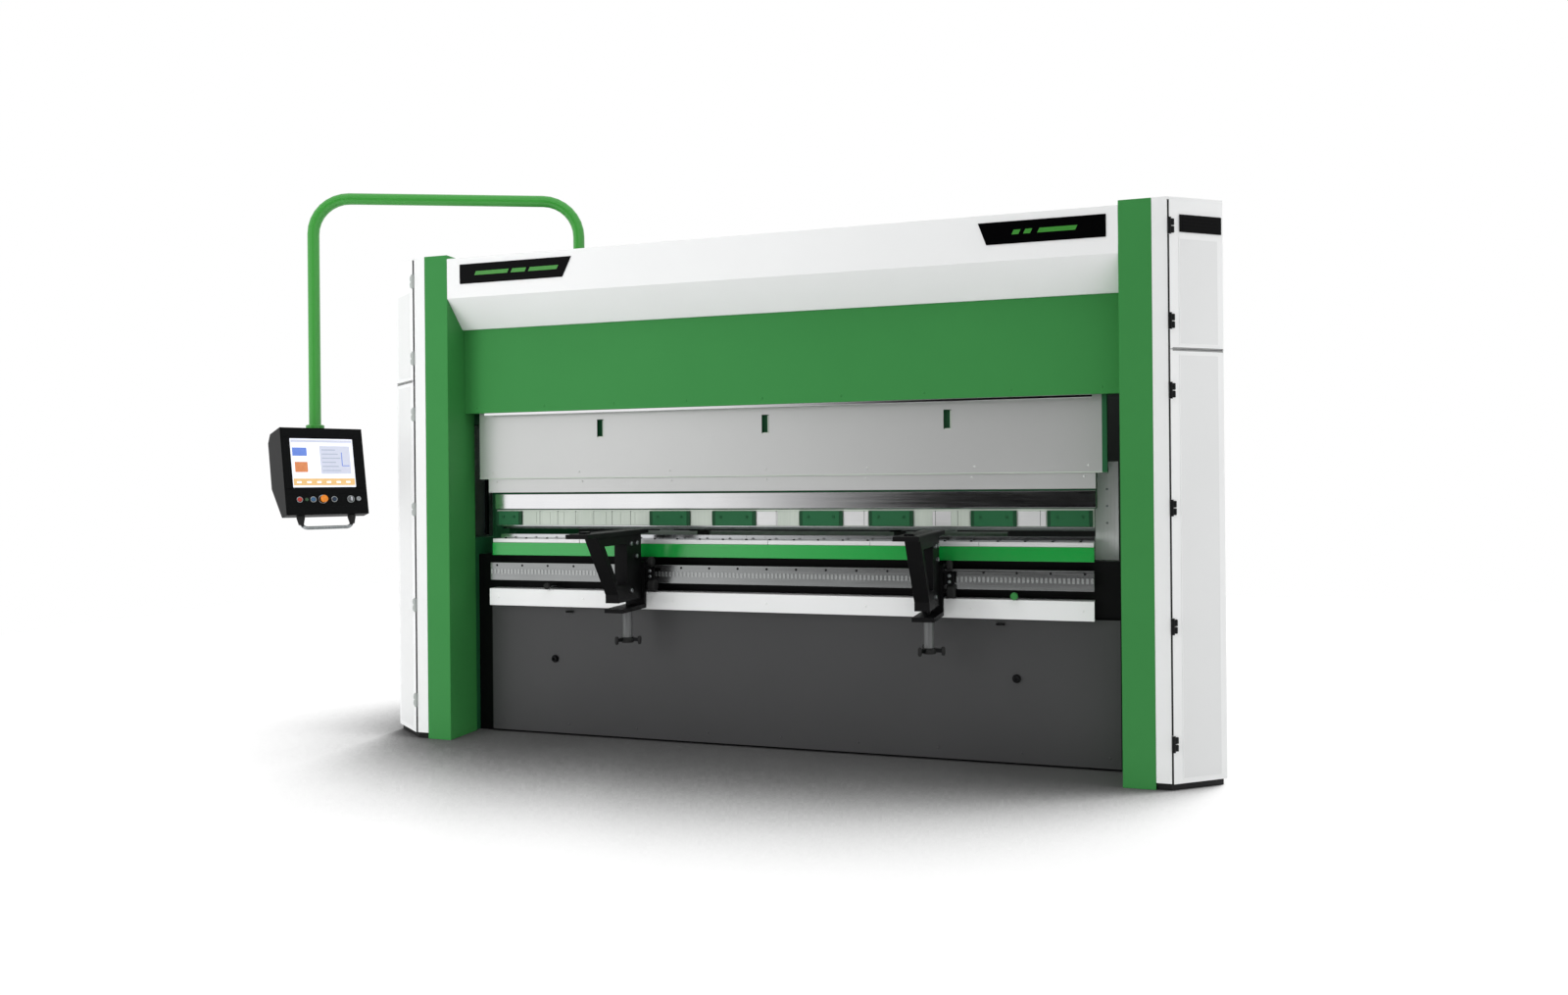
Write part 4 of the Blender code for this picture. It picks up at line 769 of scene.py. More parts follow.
def make_ram():
    """Ram with its skin, the pale lip and green edge on that, the wedge bar and the rods."""
    refined("ram_beam", DARK_GREEN, 0.003)
    refined("ram_front_skin", RAM_GREY, 0.0012, 3)
    refined("ram_nose_cover", RAM_GREY, 0.0012, 3)
    low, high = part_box("ram_front_skin")
    nose_low, nose_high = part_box("ram_nose_cover")
    lip = box((low.x, low.y - 0.0012, low.z - 0.0002), (high.x, low.y + 0.002, low.z + 0.005))
    piece("ram_skin_lip", [lip], HOLDER, "ram", 0.0005)
    edge = box((high.x - 0.022, low.y - 0.0014, low.z), (high.x, low.y + 0.002, high.z - 0.02))
    piece("ram_skin_edge", [edge], DARK_GREEN, "ram", 0.0005)
    z0 = low.z + 0.210
    for index, x in enumerate(SKIN_SLOTS):
        cup = box((x - 0.030, low.y + 0.030, z0 - 0.020), (x + 0.030, low.y + 0.034, z0 + 0.110))
        piece(f"slot_backing_{index}", [cup], DARK_GREEN, "ram")
        # the pale strips on each slot's right and lower edges stand for the cut edges; their paleness is a
        # painted highlight
        cheek = box((x + 0.0125, low.y - 0.0005, z0 + 0.004), (x + 0.0175, low.y + 0.030, z0 + 0.086))
        sill = box((x - 0.0125, low.y - 0.0005, z0 - 0.002), (x + 0.0175, low.y + 0.030, z0 + 0.003))
        piece(f"slot_cheek_{index}", [cheek, sill], HOLDER, "ram", 0.0006)
    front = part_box("ram_beam")[0].y
    holder_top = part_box("punch_holder")[1].z
    wedge = box((-1.548, front - 0.016, holder_top + 0.005), (1.548, front - LIFT_OFF, nose_low.z - 0.010))
    piece("wedge_bar", [wedge], LAPPED, "ram", 0.0015)
    front_row("nose_screws", DOME, 1.50, nose_low.y, nose_high.z - 0.016, 7, RAM_GREY, "ram")
    front_row("skin_screws", DOME, 1.52, low.y, low.z + 0.034, 7, RAM_GREY, "ram")
    for name, _ in SIDES:
        refined("piston_rod_" + name, CHROME, 0.0015)
    make_tool_row()


def clamp_spans():
    """The clamp blocks' X spans, read from the holder's front faces."""
    mesh = frame["nodes"]["punch_holder"].data
    low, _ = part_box("punch_holder")
    xs = sorted({round(vert.co.x, 4) for vert in mesh.vertices if vert.co.y < low.y + 0.0002})
    return list(zip(xs[::2], xs[1::2]))


def make_tool_row():
    """Steel holder bar with green clamp blocks, and the segmented punch under it."""
    low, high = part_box("punch_holder")
    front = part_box("ram_beam")[0].y - 0.010
    slot = 0.0063
    outline = [(front, low.z), (-slot, low.z), (-slot, low.z + 0.032), (slot, low.z + 0.032),
               (slot, low.z), (high.y, low.z), (high.y, high.z), (front, high.z)]
    piece("holder_bar", [prism(outline, "X", low.x, high.x)], HOLDER, "ram", 0.0012,
          standing_for=("punch_holder",))
    spans = clamp_spans()
    top = low.z + 0.075
    make_clamps(spans, low, front - LIFT_OFF, top)
    make_holder_face([(a[1], b[0]) for a, b in zip(spans, spans[1:])], low, front, top)
    make_segments("punch", "ram", PUNCH_LENGTHS)
    make_segments("die", "frame", DIE_LENGTHS)


def make_clamps(spans, low, back, top):
    """Green clamp blocks, each between two cheeks whose deeper green is painted shade, and held by two
    screws.
    """
    blocks, cheeks = [], []
    side = [(low.y + 0.003, low.z + 0.001), (back, low.z + 0.001), (back, top), (low.y, top),
            (low.y, low.z + 0.007)]
    thick = 0.0158
    for x0, x1 in spans:
        blocks.append(prism(side, "X", x0 + 0.016, x1 - 0.016))
        for x in (x0, x1 - thick):
            cheeks.append(box((x, low.y + 0.0015, low.z + 0.001), (x + thick, back, top)))
    piece("tool_clamps", blocks, DARK_GREEN, "ram", 0.0014)
    # the cheeks' deeper green is painted shade at the blocks' ends
    piece("tool_clamp_cheeks", cheeks, PAINTED_SHADE_GREEN, "ram", 0.0006)
    for index, (x0, x1) in enumerate(spans):
        row(f"clamp_screws_{index}", CAP_M6, (x0 + 0.045, low.y, low.z + 0.046),
            (x1 - 0.045, low.y, low.z + 0.046), 2, DARK_GREEN, "ram", turn=TO_FRONT)


def make_holder_face(free, low, front, top):
    """Pads and seams on the holder bar between the clamps.

    Right of the middle every second pad is in the paler clamp steel.
    """
    bottom, back = low.z + 0.004, front - LIFT_OFF
    joints = []
    for x0, x1 in free:
        for step in range(1, int((x1 - x0) // JOINT_PITCH) + 1):
            x = x0 + step * JOINT_PITCH
            if x < x1 - 0.02:
                joints.append(box((x, front - 0.0035, bottom), (x + 0.0016, back, top)))
    paler_pads, plainer_pads = [], []
    for x0, x1 in free:
        share = max(int((x1 - x0) // PAD_PITCH), 1)
        for step in range(share):
            start = x0 + 0.004 + (x1 - x0 - 0.008) * step / share
            stop = x0 + 0.004 + (x1 - x0 - 0.008) * (step + 1) / share
            pad = box((start, front - 0.003, bottom), (stop - 0.0008, back, top - 0.004))
            (paler_pads if start > -0.1 and (len(paler_pads) + len(plainer_pads)) % 2 == 0 else plainer_pads).append(pad)
    piece("holder_pads", paler_pads, CLEAN, "ram", 0.001)
    piece("holder_pads_plain", plainer_pads, HOLDER, "ram", 0.001)
    piece("holder_joints", joints, OXIDE, "ram")


def make_segments(node, body, lengths):
    """Tool profile cut into separate lengths that stand side by side."""
    shape = from_node(node)
    low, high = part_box(node)
    end = [face for face in shape.faces if all(abs(v.co.x - low.x) < 1e-4 for v in face.verts)]
    region = bmesh.ops.dissolve_faces(shape, faces=end)["region"]
    outline = [(vert.co.y, vert.co.z) for vert in region[0].verts]
    shape.free()
    shapes, start = [], low.x
    for length in lengths:
        stop = min(start + length, high.x)
        shapes.append(prism(outline, "X", start + 0.0002, stop - 0.0002))
        start = stop
    piece(node + "_segments", shapes, HARDENED, body, 0.0006, standing_for=(node,))


# ---------------------------------------------------------------- bed

CLAMP_BAR_LEFT, CLAMP_BAR_PITCH, CLAMP_BAR_LENGTH = -1.54, 0.5133, 0.5123
LOCK_KNOB_X, LOCK_KNOB_Z = 1.19, 0.787
# the bed beam's black is painted shade of the recesses round the rails
BED_FINISHES = {"bed_beam": (BLACK, 0.003), "table_top": (BRIGHT_GREEN, 0.002),
                "support_rail": (RAIL_STEEL, 0.0012), "lower_rail": (WHITE, 0.0012, 3),
                "bed_apron": (DARK_GREY, 0.0012, 3), "rear_tie_beam": (DARK_GREEN, 0.003),
                "top_tie_beam": (DARK_GREEN, 0.003), "rear_guard": (DARK_GREY, 0.0012),
                # the left guard's dark green is painted shade; its twin on the right is white
                "end_guard_right": (WHITE, 0.0012), "end_guard_left": (DARK_GREEN, 0.0012)}


def make_bed():
    """Bed, table and guards, with the bars that clamp the die and the fittings of the front rails."""
    for node, finish in BED_FINISHES.items():
        refined(node, *finish)
    table_low, table_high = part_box("table_top")
    die_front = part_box("die")[0].y
    starts = [CLAMP_BAR_LEFT + CLAMP_BAR_PITCH * step for step in range(6)]
    clamps = [box((start + 0.0004, table_low.y + 0.004, table_high.z + LIFT_OFF),
                  (start + CLAMP_BAR_LENGTH, die_front - 0.0006, table_high.z + 0.021)) for start in starts]
    piece("die_clamp_bars", clamps, CLEAN, "frame", 0.002)
    row("die_clamp_screws", CAP_M6, (-1.48, die_front - 0.030, table_high.z + 0.0208),
        (1.48, die_front - 0.030, table_high.z + 0.0208), 25, OXIDE, "frame")
    rail_low, rail_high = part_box("support_rail")
    tooth = template("rail_tooth", [box((-0.0055, -0.0022, -0.012), (0.0055, 0.0, 0.012))])
    middle = (rail_low.z + rail_high.z) / 2
    row("rail_rack", tooth, (-1.53, rail_low.y, middle), (1.53, rail_low.y, middle), 154, RACK_STEEL, "frame")
    front_row("rail_screws", FLAT_SCREW, 1.50, rail_low.y - 0.0001, rail_high.z - 0.014, 21, OXIDE)
    make_rail_locks()
    make_apron_fittings()
    lower_low, lower_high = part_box("lower_rail")
    front_row("lower_rail_screws", DOME, 1.49, lower_low.y, (lower_low.z + lower_high.z) / 2, 7, WHITE,
              "frame")
    make_ends()


def make_rail_locks():
    """A round knob on each end of the lower rail, on a stud from the bed."""
    knob = [(0, 0), (0.009, 0), (0.009, 0.018), (0.017, 0.020), (0.017, 0.032), (0.013, 0.036), (0, 0.036)]
    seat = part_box("lower_rail")[0].y + 0.010
    bed_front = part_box("bed_beam")[0].y - LIFT_OFF
    for name, side, finish, slot in (("left", -1, RUBBER, "black_paint"), ("right", 1, GREEN, "green_paint")):
        piece("rail_lock_knob_" + name, [facing_front(knob, (side * LOCK_KNOB_X, seat, LOCK_KNOB_Z))], finish,
              "frame")
    studs = [rod((side * LOCK_KNOB_X, seat, LOCK_KNOB_Z), (side * LOCK_KNOB_X, bed_front, LOCK_KNOB_Z), 0.007)
             for _, side in SIDES]
    piece("rail_lock_studs", studs, ZINC, "frame")


def make_apron_fittings():
    """Two socket bolts, two wire catches and a low row of screws on the apron."""
    low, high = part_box("bed_apron")
    bolt = [(0, 0), (0.020, 0), (0.020, 0.004), (0.015, 0.004), (0.015, 0.016), (0.012, 0.018),
            (0.008, 0.018), (0.008, 0.008), (0, 0.008)]
    piece("apron_bolts", [facing_front(bolt, (x, low.y, 0.400)) for x in (-1.19, 1.19)], OXIDE, "frame")
    z, out = high.z - 0.030, low.y - 0.012
    pulls = []
    for x in (-1.10, 1.12):
        pulls.append(rod((x - 0.020, out, z), (x + 0.020, out, z), 0.005))
        for leg in (x - 0.015, x + 0.015):
            pulls.append(rod((leg, out, z), (leg, low.y - 0.0002, z), 0.004))
    piece("apron_catches", pulls, OXIDE, "frame")
    row("apron_screws_low", DOME, (-1.50, low.y, 0.060), (1.60, low.y, 0.060), 9, DARK_GREY, "frame",
        TO_FRONT)


def make_ends():
    """Black strips at the throats that are painted shade, and the screws and slats of the end guards."""
    for name, side in SIDES:
        low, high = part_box("end_guard_" + name)
        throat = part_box("side_frame_right")[0].x
        x0, x1 = sorted((side * (throat - 0.012), side * (throat - 0.0006)))
        # a black strip just inside each frame plate is painted shade in the throat
        piece("throat_edge_" + name, [box((x0, 0.010, 1.045), (x1, 0.034, 1.625))], ABS, "frame",
              0.002)
        middle = (low.x + high.x) / 2
        row("guard_screws_" + name, DOME, (middle, low.y, low.z + 0.30), (middle, low.y, high.z - 0.05), 4,
            ZINC, "frame", turn=TO_FRONT)
        slats = [box((low.x + 0.012 + 0.0155 * step, low.y - 0.0016, low.z + 0.02),
                     (low.x + 0.0235 + 0.0155 * step, low.y - LIFT_OFF, high.z - 0.02)) for step in range(5)]
        # the left slats' dark green is painted shade, as on the left guard
        finish, slot = (WHITE, "white_paint") if side > 0 else (DARK_GREEN, "dark_green_paint")
        piece("guard_slats_" + name, slats, finish, "frame", 0.0006)


# ---------------------------------------------------------------- supports

CHEEK_BOLTS = ((-0.235, 1.020), (-0.300, 1.020), (-0.235, 0.955), (-0.300, 0.790))   # y and z
PLATE_FRONT = -0.172                   # front face of the screw plate beside a carriage


def make_supports():
    for name, _ in SIDES:
        axis = JOINT_OF[f"support_{name}_screw_turn"]["pos_m"]
        refined("support_carriage_" + name, BLACK, 0.0018)
        refined("support_arm_" + name, BLACK, 0.0018)
        column = refined("support_screw_" + name, OXIDE, 0.0015)
        star_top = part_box("support_screw_" + name)[0].z + 0.024
        paint_where(column, SATIN_GREY, lambda c, n, low=star_top, high=axis[2] - 0.001: low < c.z < high)
        make_support_arm(name, axis[0])
        make_carriage_fittings(name)
        make_wheel_fittings(name, axis)


def make_support_arm(name, x):
    """Slide strips, a stop and the cheek bolts on one support's arm."""
    body = "support_arm_" + name
    low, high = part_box(body)
    top = high.z
    strips = [box((x + shift - 0.008, low.y + 0.020, top), (x + shift + 0.008, high.y - 0.020, top + 0.0016))
              for shift in (-0.036, 0.036)]
    piece("support_wear_strips_" + name, strips, OXIDE, body, 0.0006)
    row("support_strip_screws_" + name, DOME, (x, low.y + 0.05, top - 0.0015),
        (x, high.y - 0.05, top - 0.0015), 7, OXIDE, body)
    stop = box((x - 0.020, low.y + 0.060, top), (x + 0.020, low.y + 0.100, top + 0.010))
    piece("support_stop_" + name, [stop], OXIDE, body, 0.002)
    bolt = [(0, 0), (0.011, 0), (0.011, 0.008), (0.009, 0.010), (0.005, 0.010), (0.005, 0.004), (0, 0.004)]
    heads = [facing_side(bolt, (x + side * 0.034, y, z), side, 16)
             for y, z in CHEEK_BOLTS for _, side in SIDES]
    piece("support_bolts_" + name, heads, ZINC, body)


def make_carriage_fittings(name):
    """Two clamp knobs and a screwed plate on the carriage's right side."""
    body = "support_" + name
    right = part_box("support_carriage_" + name)[1].x
    rail_low, rail_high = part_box("support_rail")
    knobs = []
    for z, radius, reach in ((rail_high.z + 0.018, 0.024, 0.040), (rail_low.z - 0.010, 0.032, 0.052)):
        knob = [(0, 0), (0.008, 0), (0.008, 0.012), (radius - 0.004, 0.014), (radius, 0.020),
                (radius, reach - 0.006), (radius - 0.005, reach), (0, reach)]
        knobs.append(facing_side(knob, (right, -0.150, z), 1, 20))
    piece("support_clamp_knobs_" + name, knobs, RUBBER, body)
    plate = box((right + LIFT_OFF, PLATE_FRONT, rail_low.z + 0.018),
                (right + 0.006, -0.120, rail_high.z - 0.012))
    ear = box((right + LIFT_OFF, PLATE_FRONT, rail_low.z + 0.024),
              (right + 0.052, -0.166, rail_high.z - 0.016))
    piece("support_screw_plate_" + name, [plate, ear], BLACK, body, 0.001)
    head = [(0, 0), (0.008, 0), (0.008, 0.003), (0.006, 0.005), (0, 0.005)]
    heads = [facing_front(head, (right + 0.028, PLATE_FRONT, z), 16)
             for z in (rail_low.z + 0.036, rail_high.z - 0.028)]
    piece("support_plate_screws_" + name, heads, ZINC, body)


def make_wheel_fittings(name, axis):
    """Three grips that hang from the ends of the hand wheel's arms, and its boss."""
    body = "support_screw_" + name
    low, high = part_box(body)
    reach = high.x - axis[0] - 0.002
    grips = []
    for turn in range(3):
        grip = turned([(0, -0.022), (0.006, -0.020), (0.0095, -0.012), (0.0095, 0.012), (0.006, 0.019),
                       (0, 0.020)], segments=16)
        grip.transform(Matrix.Translation((axis[0], axis[1], low.z + 0.010))
                       @ Matrix.Rotation(turn * 2 * math.pi / 3, 4, "Z") @ Matrix.Translation((reach, 0, 0)))
        grips.append(grip)
    boss = turned([(0, -0.006), (0.030, -0.006), (0.034, 0.004), (0.034, 0.012), (0.028, 0.020), (0, 0.020)],
                  (axis[0], axis[1], low.z + 0.002))
    piece("support_wheel_grips_" + name, grips, RUBBER, body)
    piece("support_wheel_boss_" + name, [boss], RUBBER, body)


# ---------------------------------------------------------------- control panel

FACE = -0.090                          # the panel's face, in the panel's own frame
SEAT = FACE - 0.0003                   # where fittings stand on it
PANEL_HALF, PANEL_DROP = 0.210, 0.460  # half its width, and its height
SCREEN = (-0.166, 0.154, -0.316, -0.058)                 # left, right, bottom, top
PICTURE = FACE - 0.0020                # front of the tiles on the screen's glass
CONTROLS = {"push_button_start": (RED, 0.0155), "push_button_reset": (BLUE, 0.0155),
            "push_button_mode": (NAVY, 0.0155), "emergency_stop": (ORANGE, 0.0225),
            "selector_knob": (KNOB_GREY, 0.019)}         # finish and radius of the collar
COLLARED = ("push_button_start", "push_button_reset", "push_button_mode", "selector_knob", "emergency_stop")


def panel_pose():
    """Matrix of the tilted panel: X to its right, -Y out of its face, Z up, origin at its top."""
    inward = Vector(JOINT_OF["start_button_press"]["axis"]).normalized()
    swivel = Vector(JOINT_OF["pendant_swivel"]["pos_m"])
    across = Vector((inward.y, -inward.x, 0)).normalized()
    up = across.cross(inward)
    pose = Matrix((across, inward, up)).transposed().to_4x4()
    return Matrix.Translation(swivel + Vector((0, 0, 0.010))) @ pose


def on_panel(name, shapes, material, bevel=0.0, body="panel"):
    """A piece whose shapes are given in the panel's own frame."""
    for shape in shapes:
        shape.transform(panel_pose())
    piece(name, shapes, material, body, bevel)


def centre_on_panel(node):
    low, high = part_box(node)
    return panel_pose().inverted() @ ((low + high) / 2)


def make_pendant():
    refined("pendant_arm", TUBE_GREEN, 0.0015)
    refined("arm_socket", DARK_GREY, 0.0015)
    refined("pendant_housing", ABS, 0.006, 4)
    for node, (finish, _) in CONTROLS.items():
        refined(node, finish)
    make_bezel()
    make_screen()
    make_controls()
    vents = [box((-0.12 + 0.020 * step, 0.1000, -0.240), (-0.110 + 0.020 * step, 0.1015, -0.090))
             for step in range(13)]
    on_panel("panel_rear_vents", vents, ABS, 0.0005)
    socket_cover = box((PANEL_HALF, -0.050, -0.220), (PANEL_HALF + 0.003, -0.020, -0.170))
    on_panel("panel_side_cover", [socket_cover], RUBBER, 0.0012)
    make_handle()
    make_arm_fittings()


def make_bezel():
    """Frame round the screen, open at the bottom, and two raised strips round the row of controls."""
    edge = PANEL_HALF - 0.004
    bars = [(-edge, edge, -0.052, -0.004), (-edge, -0.169, -0.322, -0.052), (0.157, edge, -0.322, -0.052)]
    on_panel("panel_bezel", [box((x0, FACE - 0.004, z0), (x1, SEAT, z1)) for x0, x1, z0, z1 in bars], ABS,
             0.0015)
    inner = PANEL_HALF - 0.006
    strips = [box((-inner, FACE - 0.0012, z0), (inner, SEAT, z1))
              for z0, z1 in ((-0.352, -0.328), (-PANEL_DROP + 0.006, -0.418))]
    on_panel("panel_key_strip", strips, ABS, 0.0005)


def make_screen():
    """Screen with a made-up picture: blocks, a work area with lines of data, a bend and a row of keys."""
    left, right, bottom, top = SCREEN
    glass = FACE - 0.0016
    on_panel("screen_glass", [box((left, glass, bottom), (right, SEAT, top))], SCREEN_WHITE)
    tiles = (("blue_block", -0.158, -0.086, -0.150, -0.106, SCREEN_BLUE),
             ("orange_block", -0.150, -0.086, -0.236, -0.182, SCREEN_ORANGE),
             ("work_area", -0.020, 0.136, -0.246, -0.096, SCREEN_GREY),
             ("bottom_bar", left + 0.004, right - 0.004, -0.306, -0.270, SCREEN_SAND),
             ("top_bar", left + 0.004, right - 0.004, -0.078, -0.064, SCREEN_GREY))
    for name, x0, x1, z0, z1, finish in tiles:
        on_panel("screen_" + name, [box((x0, PICTURE, z0), (x1, glass, z1))], finish)
    line = PICTURE - 0.0004
    rows = [box((-0.010, line, -0.120 - 0.022 * step),
                (0.060 + 0.012 * (step % 3), PICTURE, -0.115 - 0.022 * step)) for step in range(6)]
    on_panel("screen_rows", rows, SCREEN_LINE)
    bend = [box((0.090, line, -0.200), (0.094, PICTURE, -0.130)),
            box((0.090, line, -0.204), (0.128, PICTURE, -0.200))]
    on_panel("screen_bend_sketch", bend, SCREEN_BLUE)
    keys = [box((left + 0.020 + 0.050 * step, PICTURE - 0.0006, -0.294),
                (left + 0.042 + 0.050 * step, PICTURE - 0.0001, -0.284)) for step in range(6)]
    on_panel("screen_keys", keys, SCREEN_WHITE)


def collar(radius, place, segments=28):
    """A flat ring with a chamfered edge that stands on the panel's face."""
    inner = radius - 0.0035
    profile = [(inner, 0), (radius, 0), (radius, 0.0022), (radius - 0.001, 0.003), (inner, 0.003)]
    shape = bmesh.new()
    rings = [[shape.verts.new((r * math.cos(2 * math.pi * t / segments), -h,
                               r * math.sin(2 * math.pi * t / segments))) for t in range(segments)]
             for r, h in profile]
    for a, b in zip(rings, rings[1:] + rings[:1]):
        for t in range(segments):
            after = (t + 1) % segments
            shape.faces.new([a[t], a[after], b[after], b[t]])
    shape.transform(Matrix.Translation(place))
    return shape


def make_controls():
    """Collars round the controls, a pilot lamp, a key switch and the selector's pointer."""
    collars = []
    for node in COLLARED:
        centre = centre_on_panel(node)
        collars.append(collar(CONTROLS[node][1], (centre.x, SEAT, centre.z)))
    on_panel("control_collars", collars, ZINC)
    start = centre_on_panel("push_button_start")
    for name, x, radius, height, finish, slot in (
            ("pilot_lamp", start.x + 0.034, 0.009, 0.006, LAMP_GREEN, "grey_plastic"),
            ("key_switch", 0.160, 0.012, 0.008, ZINC, "ground_steel")):
        cap = [(0, 0), (radius, 0), (radius, height - 0.001), (radius - 0.001, height), (0, height)]
        on_panel(name, [facing_front(cap, (x, SEAT, start.z))], finish)
    key_slot = box((0.1588, FACE - 0.0088, start.z - 0.006), (0.1612, FACE - 0.0080, start.z + 0.006))
    on_panel("key_slot", [key_slot], OXIDE)
    pointer = box((-0.0015, -0.0004, -0.010), (0.0015, 0.0004, 0.010))
    selector = centre_on_panel("selector_knob")
    pointer.transform(Matrix.Translation((selector.x, FACE - 0.0146, selector.z)))
    on_panel("selector_pointer", [pointer], SCREEN_WHITE, body="selector")


def make_handle():
    """Handle under the panel, dark at its upper ends, which stand in two flared feet."""
    handle = refined("pendant_handle", ZINC, 0.0)
    pose = panel_pose().inverted()
    paint_where(handle, RUBBER, lambda c, n: (pose @ c).z > -PANEL_DROP - 0.052)
    feet = []
    for _, side in SIDES:
        foot = turned([(0, 0), (0.020, 0), (0.020, 0.012), (0.0165, 0.026), (0.0125, 0.044), (0, 0.044)],
                      segments=20)
        foot.transform(panel_pose() @ Matrix.Translation((side * 0.130, -0.055, -PANEL_DROP - LIFT_OFF))
                       @ Matrix.Rotation(math.pi, 4, "X"))
        feet.append(foot)
    piece("handle_feet", feet, RUBBER, "panel")


def make_arm_fittings():
    """Bolts on the socket at the foot of the arm, and the lock collar above the panel."""
    pivot = JOINT_OF["pendant_arm_swing"]["pos_m"]
    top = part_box("arm_socket")[1].z
    ring("arm_socket_bolts", CAP_M10, (pivot[0], pivot[1], top - 0.002), 0.0425, 4, OXIDE, "frame")
    swivel = JOINT_OF["pendant_swivel"]["pos_m"]
    lock = turned([(0.0304, 0.032), (0.046, 0.032), (0.046, 0.046), (0.040, 0.050), (0.0304, 0.050)],
                  swivel, segments=32)
    bmesh.ops.remove_doubles(lock, verts=lock.verts, dist=1e-6)
    bmesh.ops.bridge_loops(lock, edges=[edge for edge in lock.edges if edge.is_boundary])
    piece("swivel_collar", [lock], TUBE_GREEN, "panel")


# ---------------------------------------------------------------- rear

MOTOR_FINS = 24
DEVICE_ROWS = ((0.78, 9), (1.02, 14), (1.26, 11), (1.46, 16))   # height and number of devices
DUCT_HEIGHTS = (0.665, 0.90, 1.14, 1.36, 1.545)


def make_back_gauge():
    """Bases with their motors, and fingers with ground tips; then the carriage and the beam."""
    for name, _ in SIDES:
        finger = "backgauge_finger_" + name
        body = BODY_OF[finger]
        refined("backgauge_base_" + name, GREY, 0.0025)
        refined(finger, DARK_GREY, 0.0015)
        low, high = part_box("backgauge_base_" + name)
        finger_low, finger_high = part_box(finger)
        x = (finger_low.x + finger_high.x) / 2
        nose = min(vert.co.z for vert in frame["nodes"][finger].data.vertices
                   if vert.co.y < finger_low.y + 0.0005)
        tip = box((x - 0.026, finger_low.y, nose + 0.001), (x + 0.026, finger_low.y + 0.004, nose + 0.020))
        piece("finger_tip_" + name, [tip], HARDENED, body, 0.0006)
        row("finger_screws_" + name, CAP_M6, (x, finger_high.y - 0.040, finger_high.z - 0.004),
            (x, finger_high.y - 0.012, finger_high.z - 0.008), 2, OXIDE, body)
        middle, level = (low.x + high.x) / 2, high.z - 0.040
        motor = [box((low.x + 0.012, high.y + 0.0006, low.z + 0.172),
                     (high.x - 0.012, high.y + 0.022, high.z - 0.004)),
                 rod((middle, high.y + 0.020, level), (middle, high.y + 0.110, level), 0.030, 24)]
        piece("gauge_motor_" + name, motor, BLACK, "frame", 0.002)
    refined("backgauge_carriage", GREY, 0.002)
    refined("backgauge_beam", GROUND, 0.002)


def make_hydraulics():
    """Tank with its lid and filler cap, finned motor, cylinders with valves, and the ram's guides."""
    refined("oil_tank", GREY, 0.0015)
    refined("pump_motor", DARK_GREY, 0.002)
    low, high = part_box("oil_tank")
    motor_low, motor_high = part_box("pump_motor")
    centre = (motor_low + motor_high) / 2
    fins = []
    for step in range(MOTOR_FINS):
        fin = box((motor_low.x + 0.070, 0.0965, -0.0015), (motor_high.x - 0.040, 0.1060, 0.0015))
        fin.transform(Matrix.Translation((0, centre.y, centre.z))
                      @ Matrix.Rotation(step * 2 * math.pi / MOTOR_FINS, 4, "X"))
        fins.append(fin)
    piece("motor_fins", fins, DARK_GREY, "frame")
    lid = box((low.x - 0.004, low.y + 0.001, high.z + LIFT_OFF),
              (high.x + 0.004, high.y + 0.004, high.z + 0.004))
    piece("tank_lid", [lid], GREY, "frame", 0.001)
    filler = turned([(0, 0), (0.030, 0), (0.030, 0.020), (0.034, 0.022), (0.034, 0.034), (0.028, 0.038),
                     (0, 0.038)], (low.x + 0.15, centre.y, high.z + 0.0042), segments=28)
    piece("filler_cap", [filler], BLACK, "frame")
    for name, y in (("front", low.y + 0.020), ("rear", high.y - 0.020)):
        row("lid_screws_" + name, DOME, (low.x + 0.03, y, high.z + 0.004),
            (high.x - 0.03, y, high.z + 0.004), 7, ZINC, "frame")
    for name, _ in SIDES:
        refined("cylinder_" + name, GREY, 0.002)
        refined("ram_guide_" + name, GROUND, 0.002)
        make_valve(name)


def make_valve(name):
    """Cap screws, valve block and its coil on top of one cylinder."""
    low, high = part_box("cylinder_" + name)
    x, top = (low.x + high.x) / 2, high.z
    ring("cylinder_cap_screws_" + name, CAP_M16, (x, 0, top), 0.065, 8, OXIDE, "frame")
    valve = box((x - 0.045, -0.045, top + LIFT_OFF), (x + 0.045, 0.045, top + 0.034))
    piece("valve_block_" + name, [valve], ZINC, "frame", 0.003)
    coil = rod((x - 0.012, -0.040, top + 0.018), (x - 0.012, -0.110, top + 0.018), 0.016, 20)
    piece("valve_coil_" + name, [coil], BLACK, "frame")


def make_cabinet():
    """Electrical cabinet with a mounting plate, rails of devices and cable ducts."""
    refined("electrical_cabinet", GREY, 0.0011)
    low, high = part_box("electrical_cabinet")
    plate = box((low.x + 0.012, low.y + 0.03, low.z + 0.03), (low.x + 0.016, high.y - 0.03, high.z - 0.03))
    piece("mounting_plate", [plate], ZINC, "frame", 0.0008)
    rails, devices = [], []
    for index, (z, count) in enumerate(DEVICE_ROWS):
        rails.append(box((low.x + 0.0162, low.y + 0.06, z - 0.017),
                         (low.x + 0.024, high.y - 0.06, z + 0.017)))
        width = (high.y - low.y - 0.16) / count
        for step in range(count):
            y = low.y + 0.08 + width * step
            tall = 0.040 + 0.012 * ((step * 7 + index * 3) % 3)
            devices.append(box((low.x + 0.0245, y + 0.001, z - tall),
                               (low.x + 0.090, y + width - 0.002, z + tall)))
    piece("mounting_rails", rails, ZINC, "frame", 0.0006)
    piece("cabinet_devices", devices, KNOB_GREY, "frame", 0.0015)
    ducts = [box((low.x + 0.0165, low.y + 0.05, z - 0.020), (low.x + 0.070, high.y - 0.05, z + 0.020))
             for z in DUCT_HEIGHTS]
    piece("cable_ducts", ducts, GREY, "frame", 0.001)


# ---------------------------------------------------------------- floor, light, camera

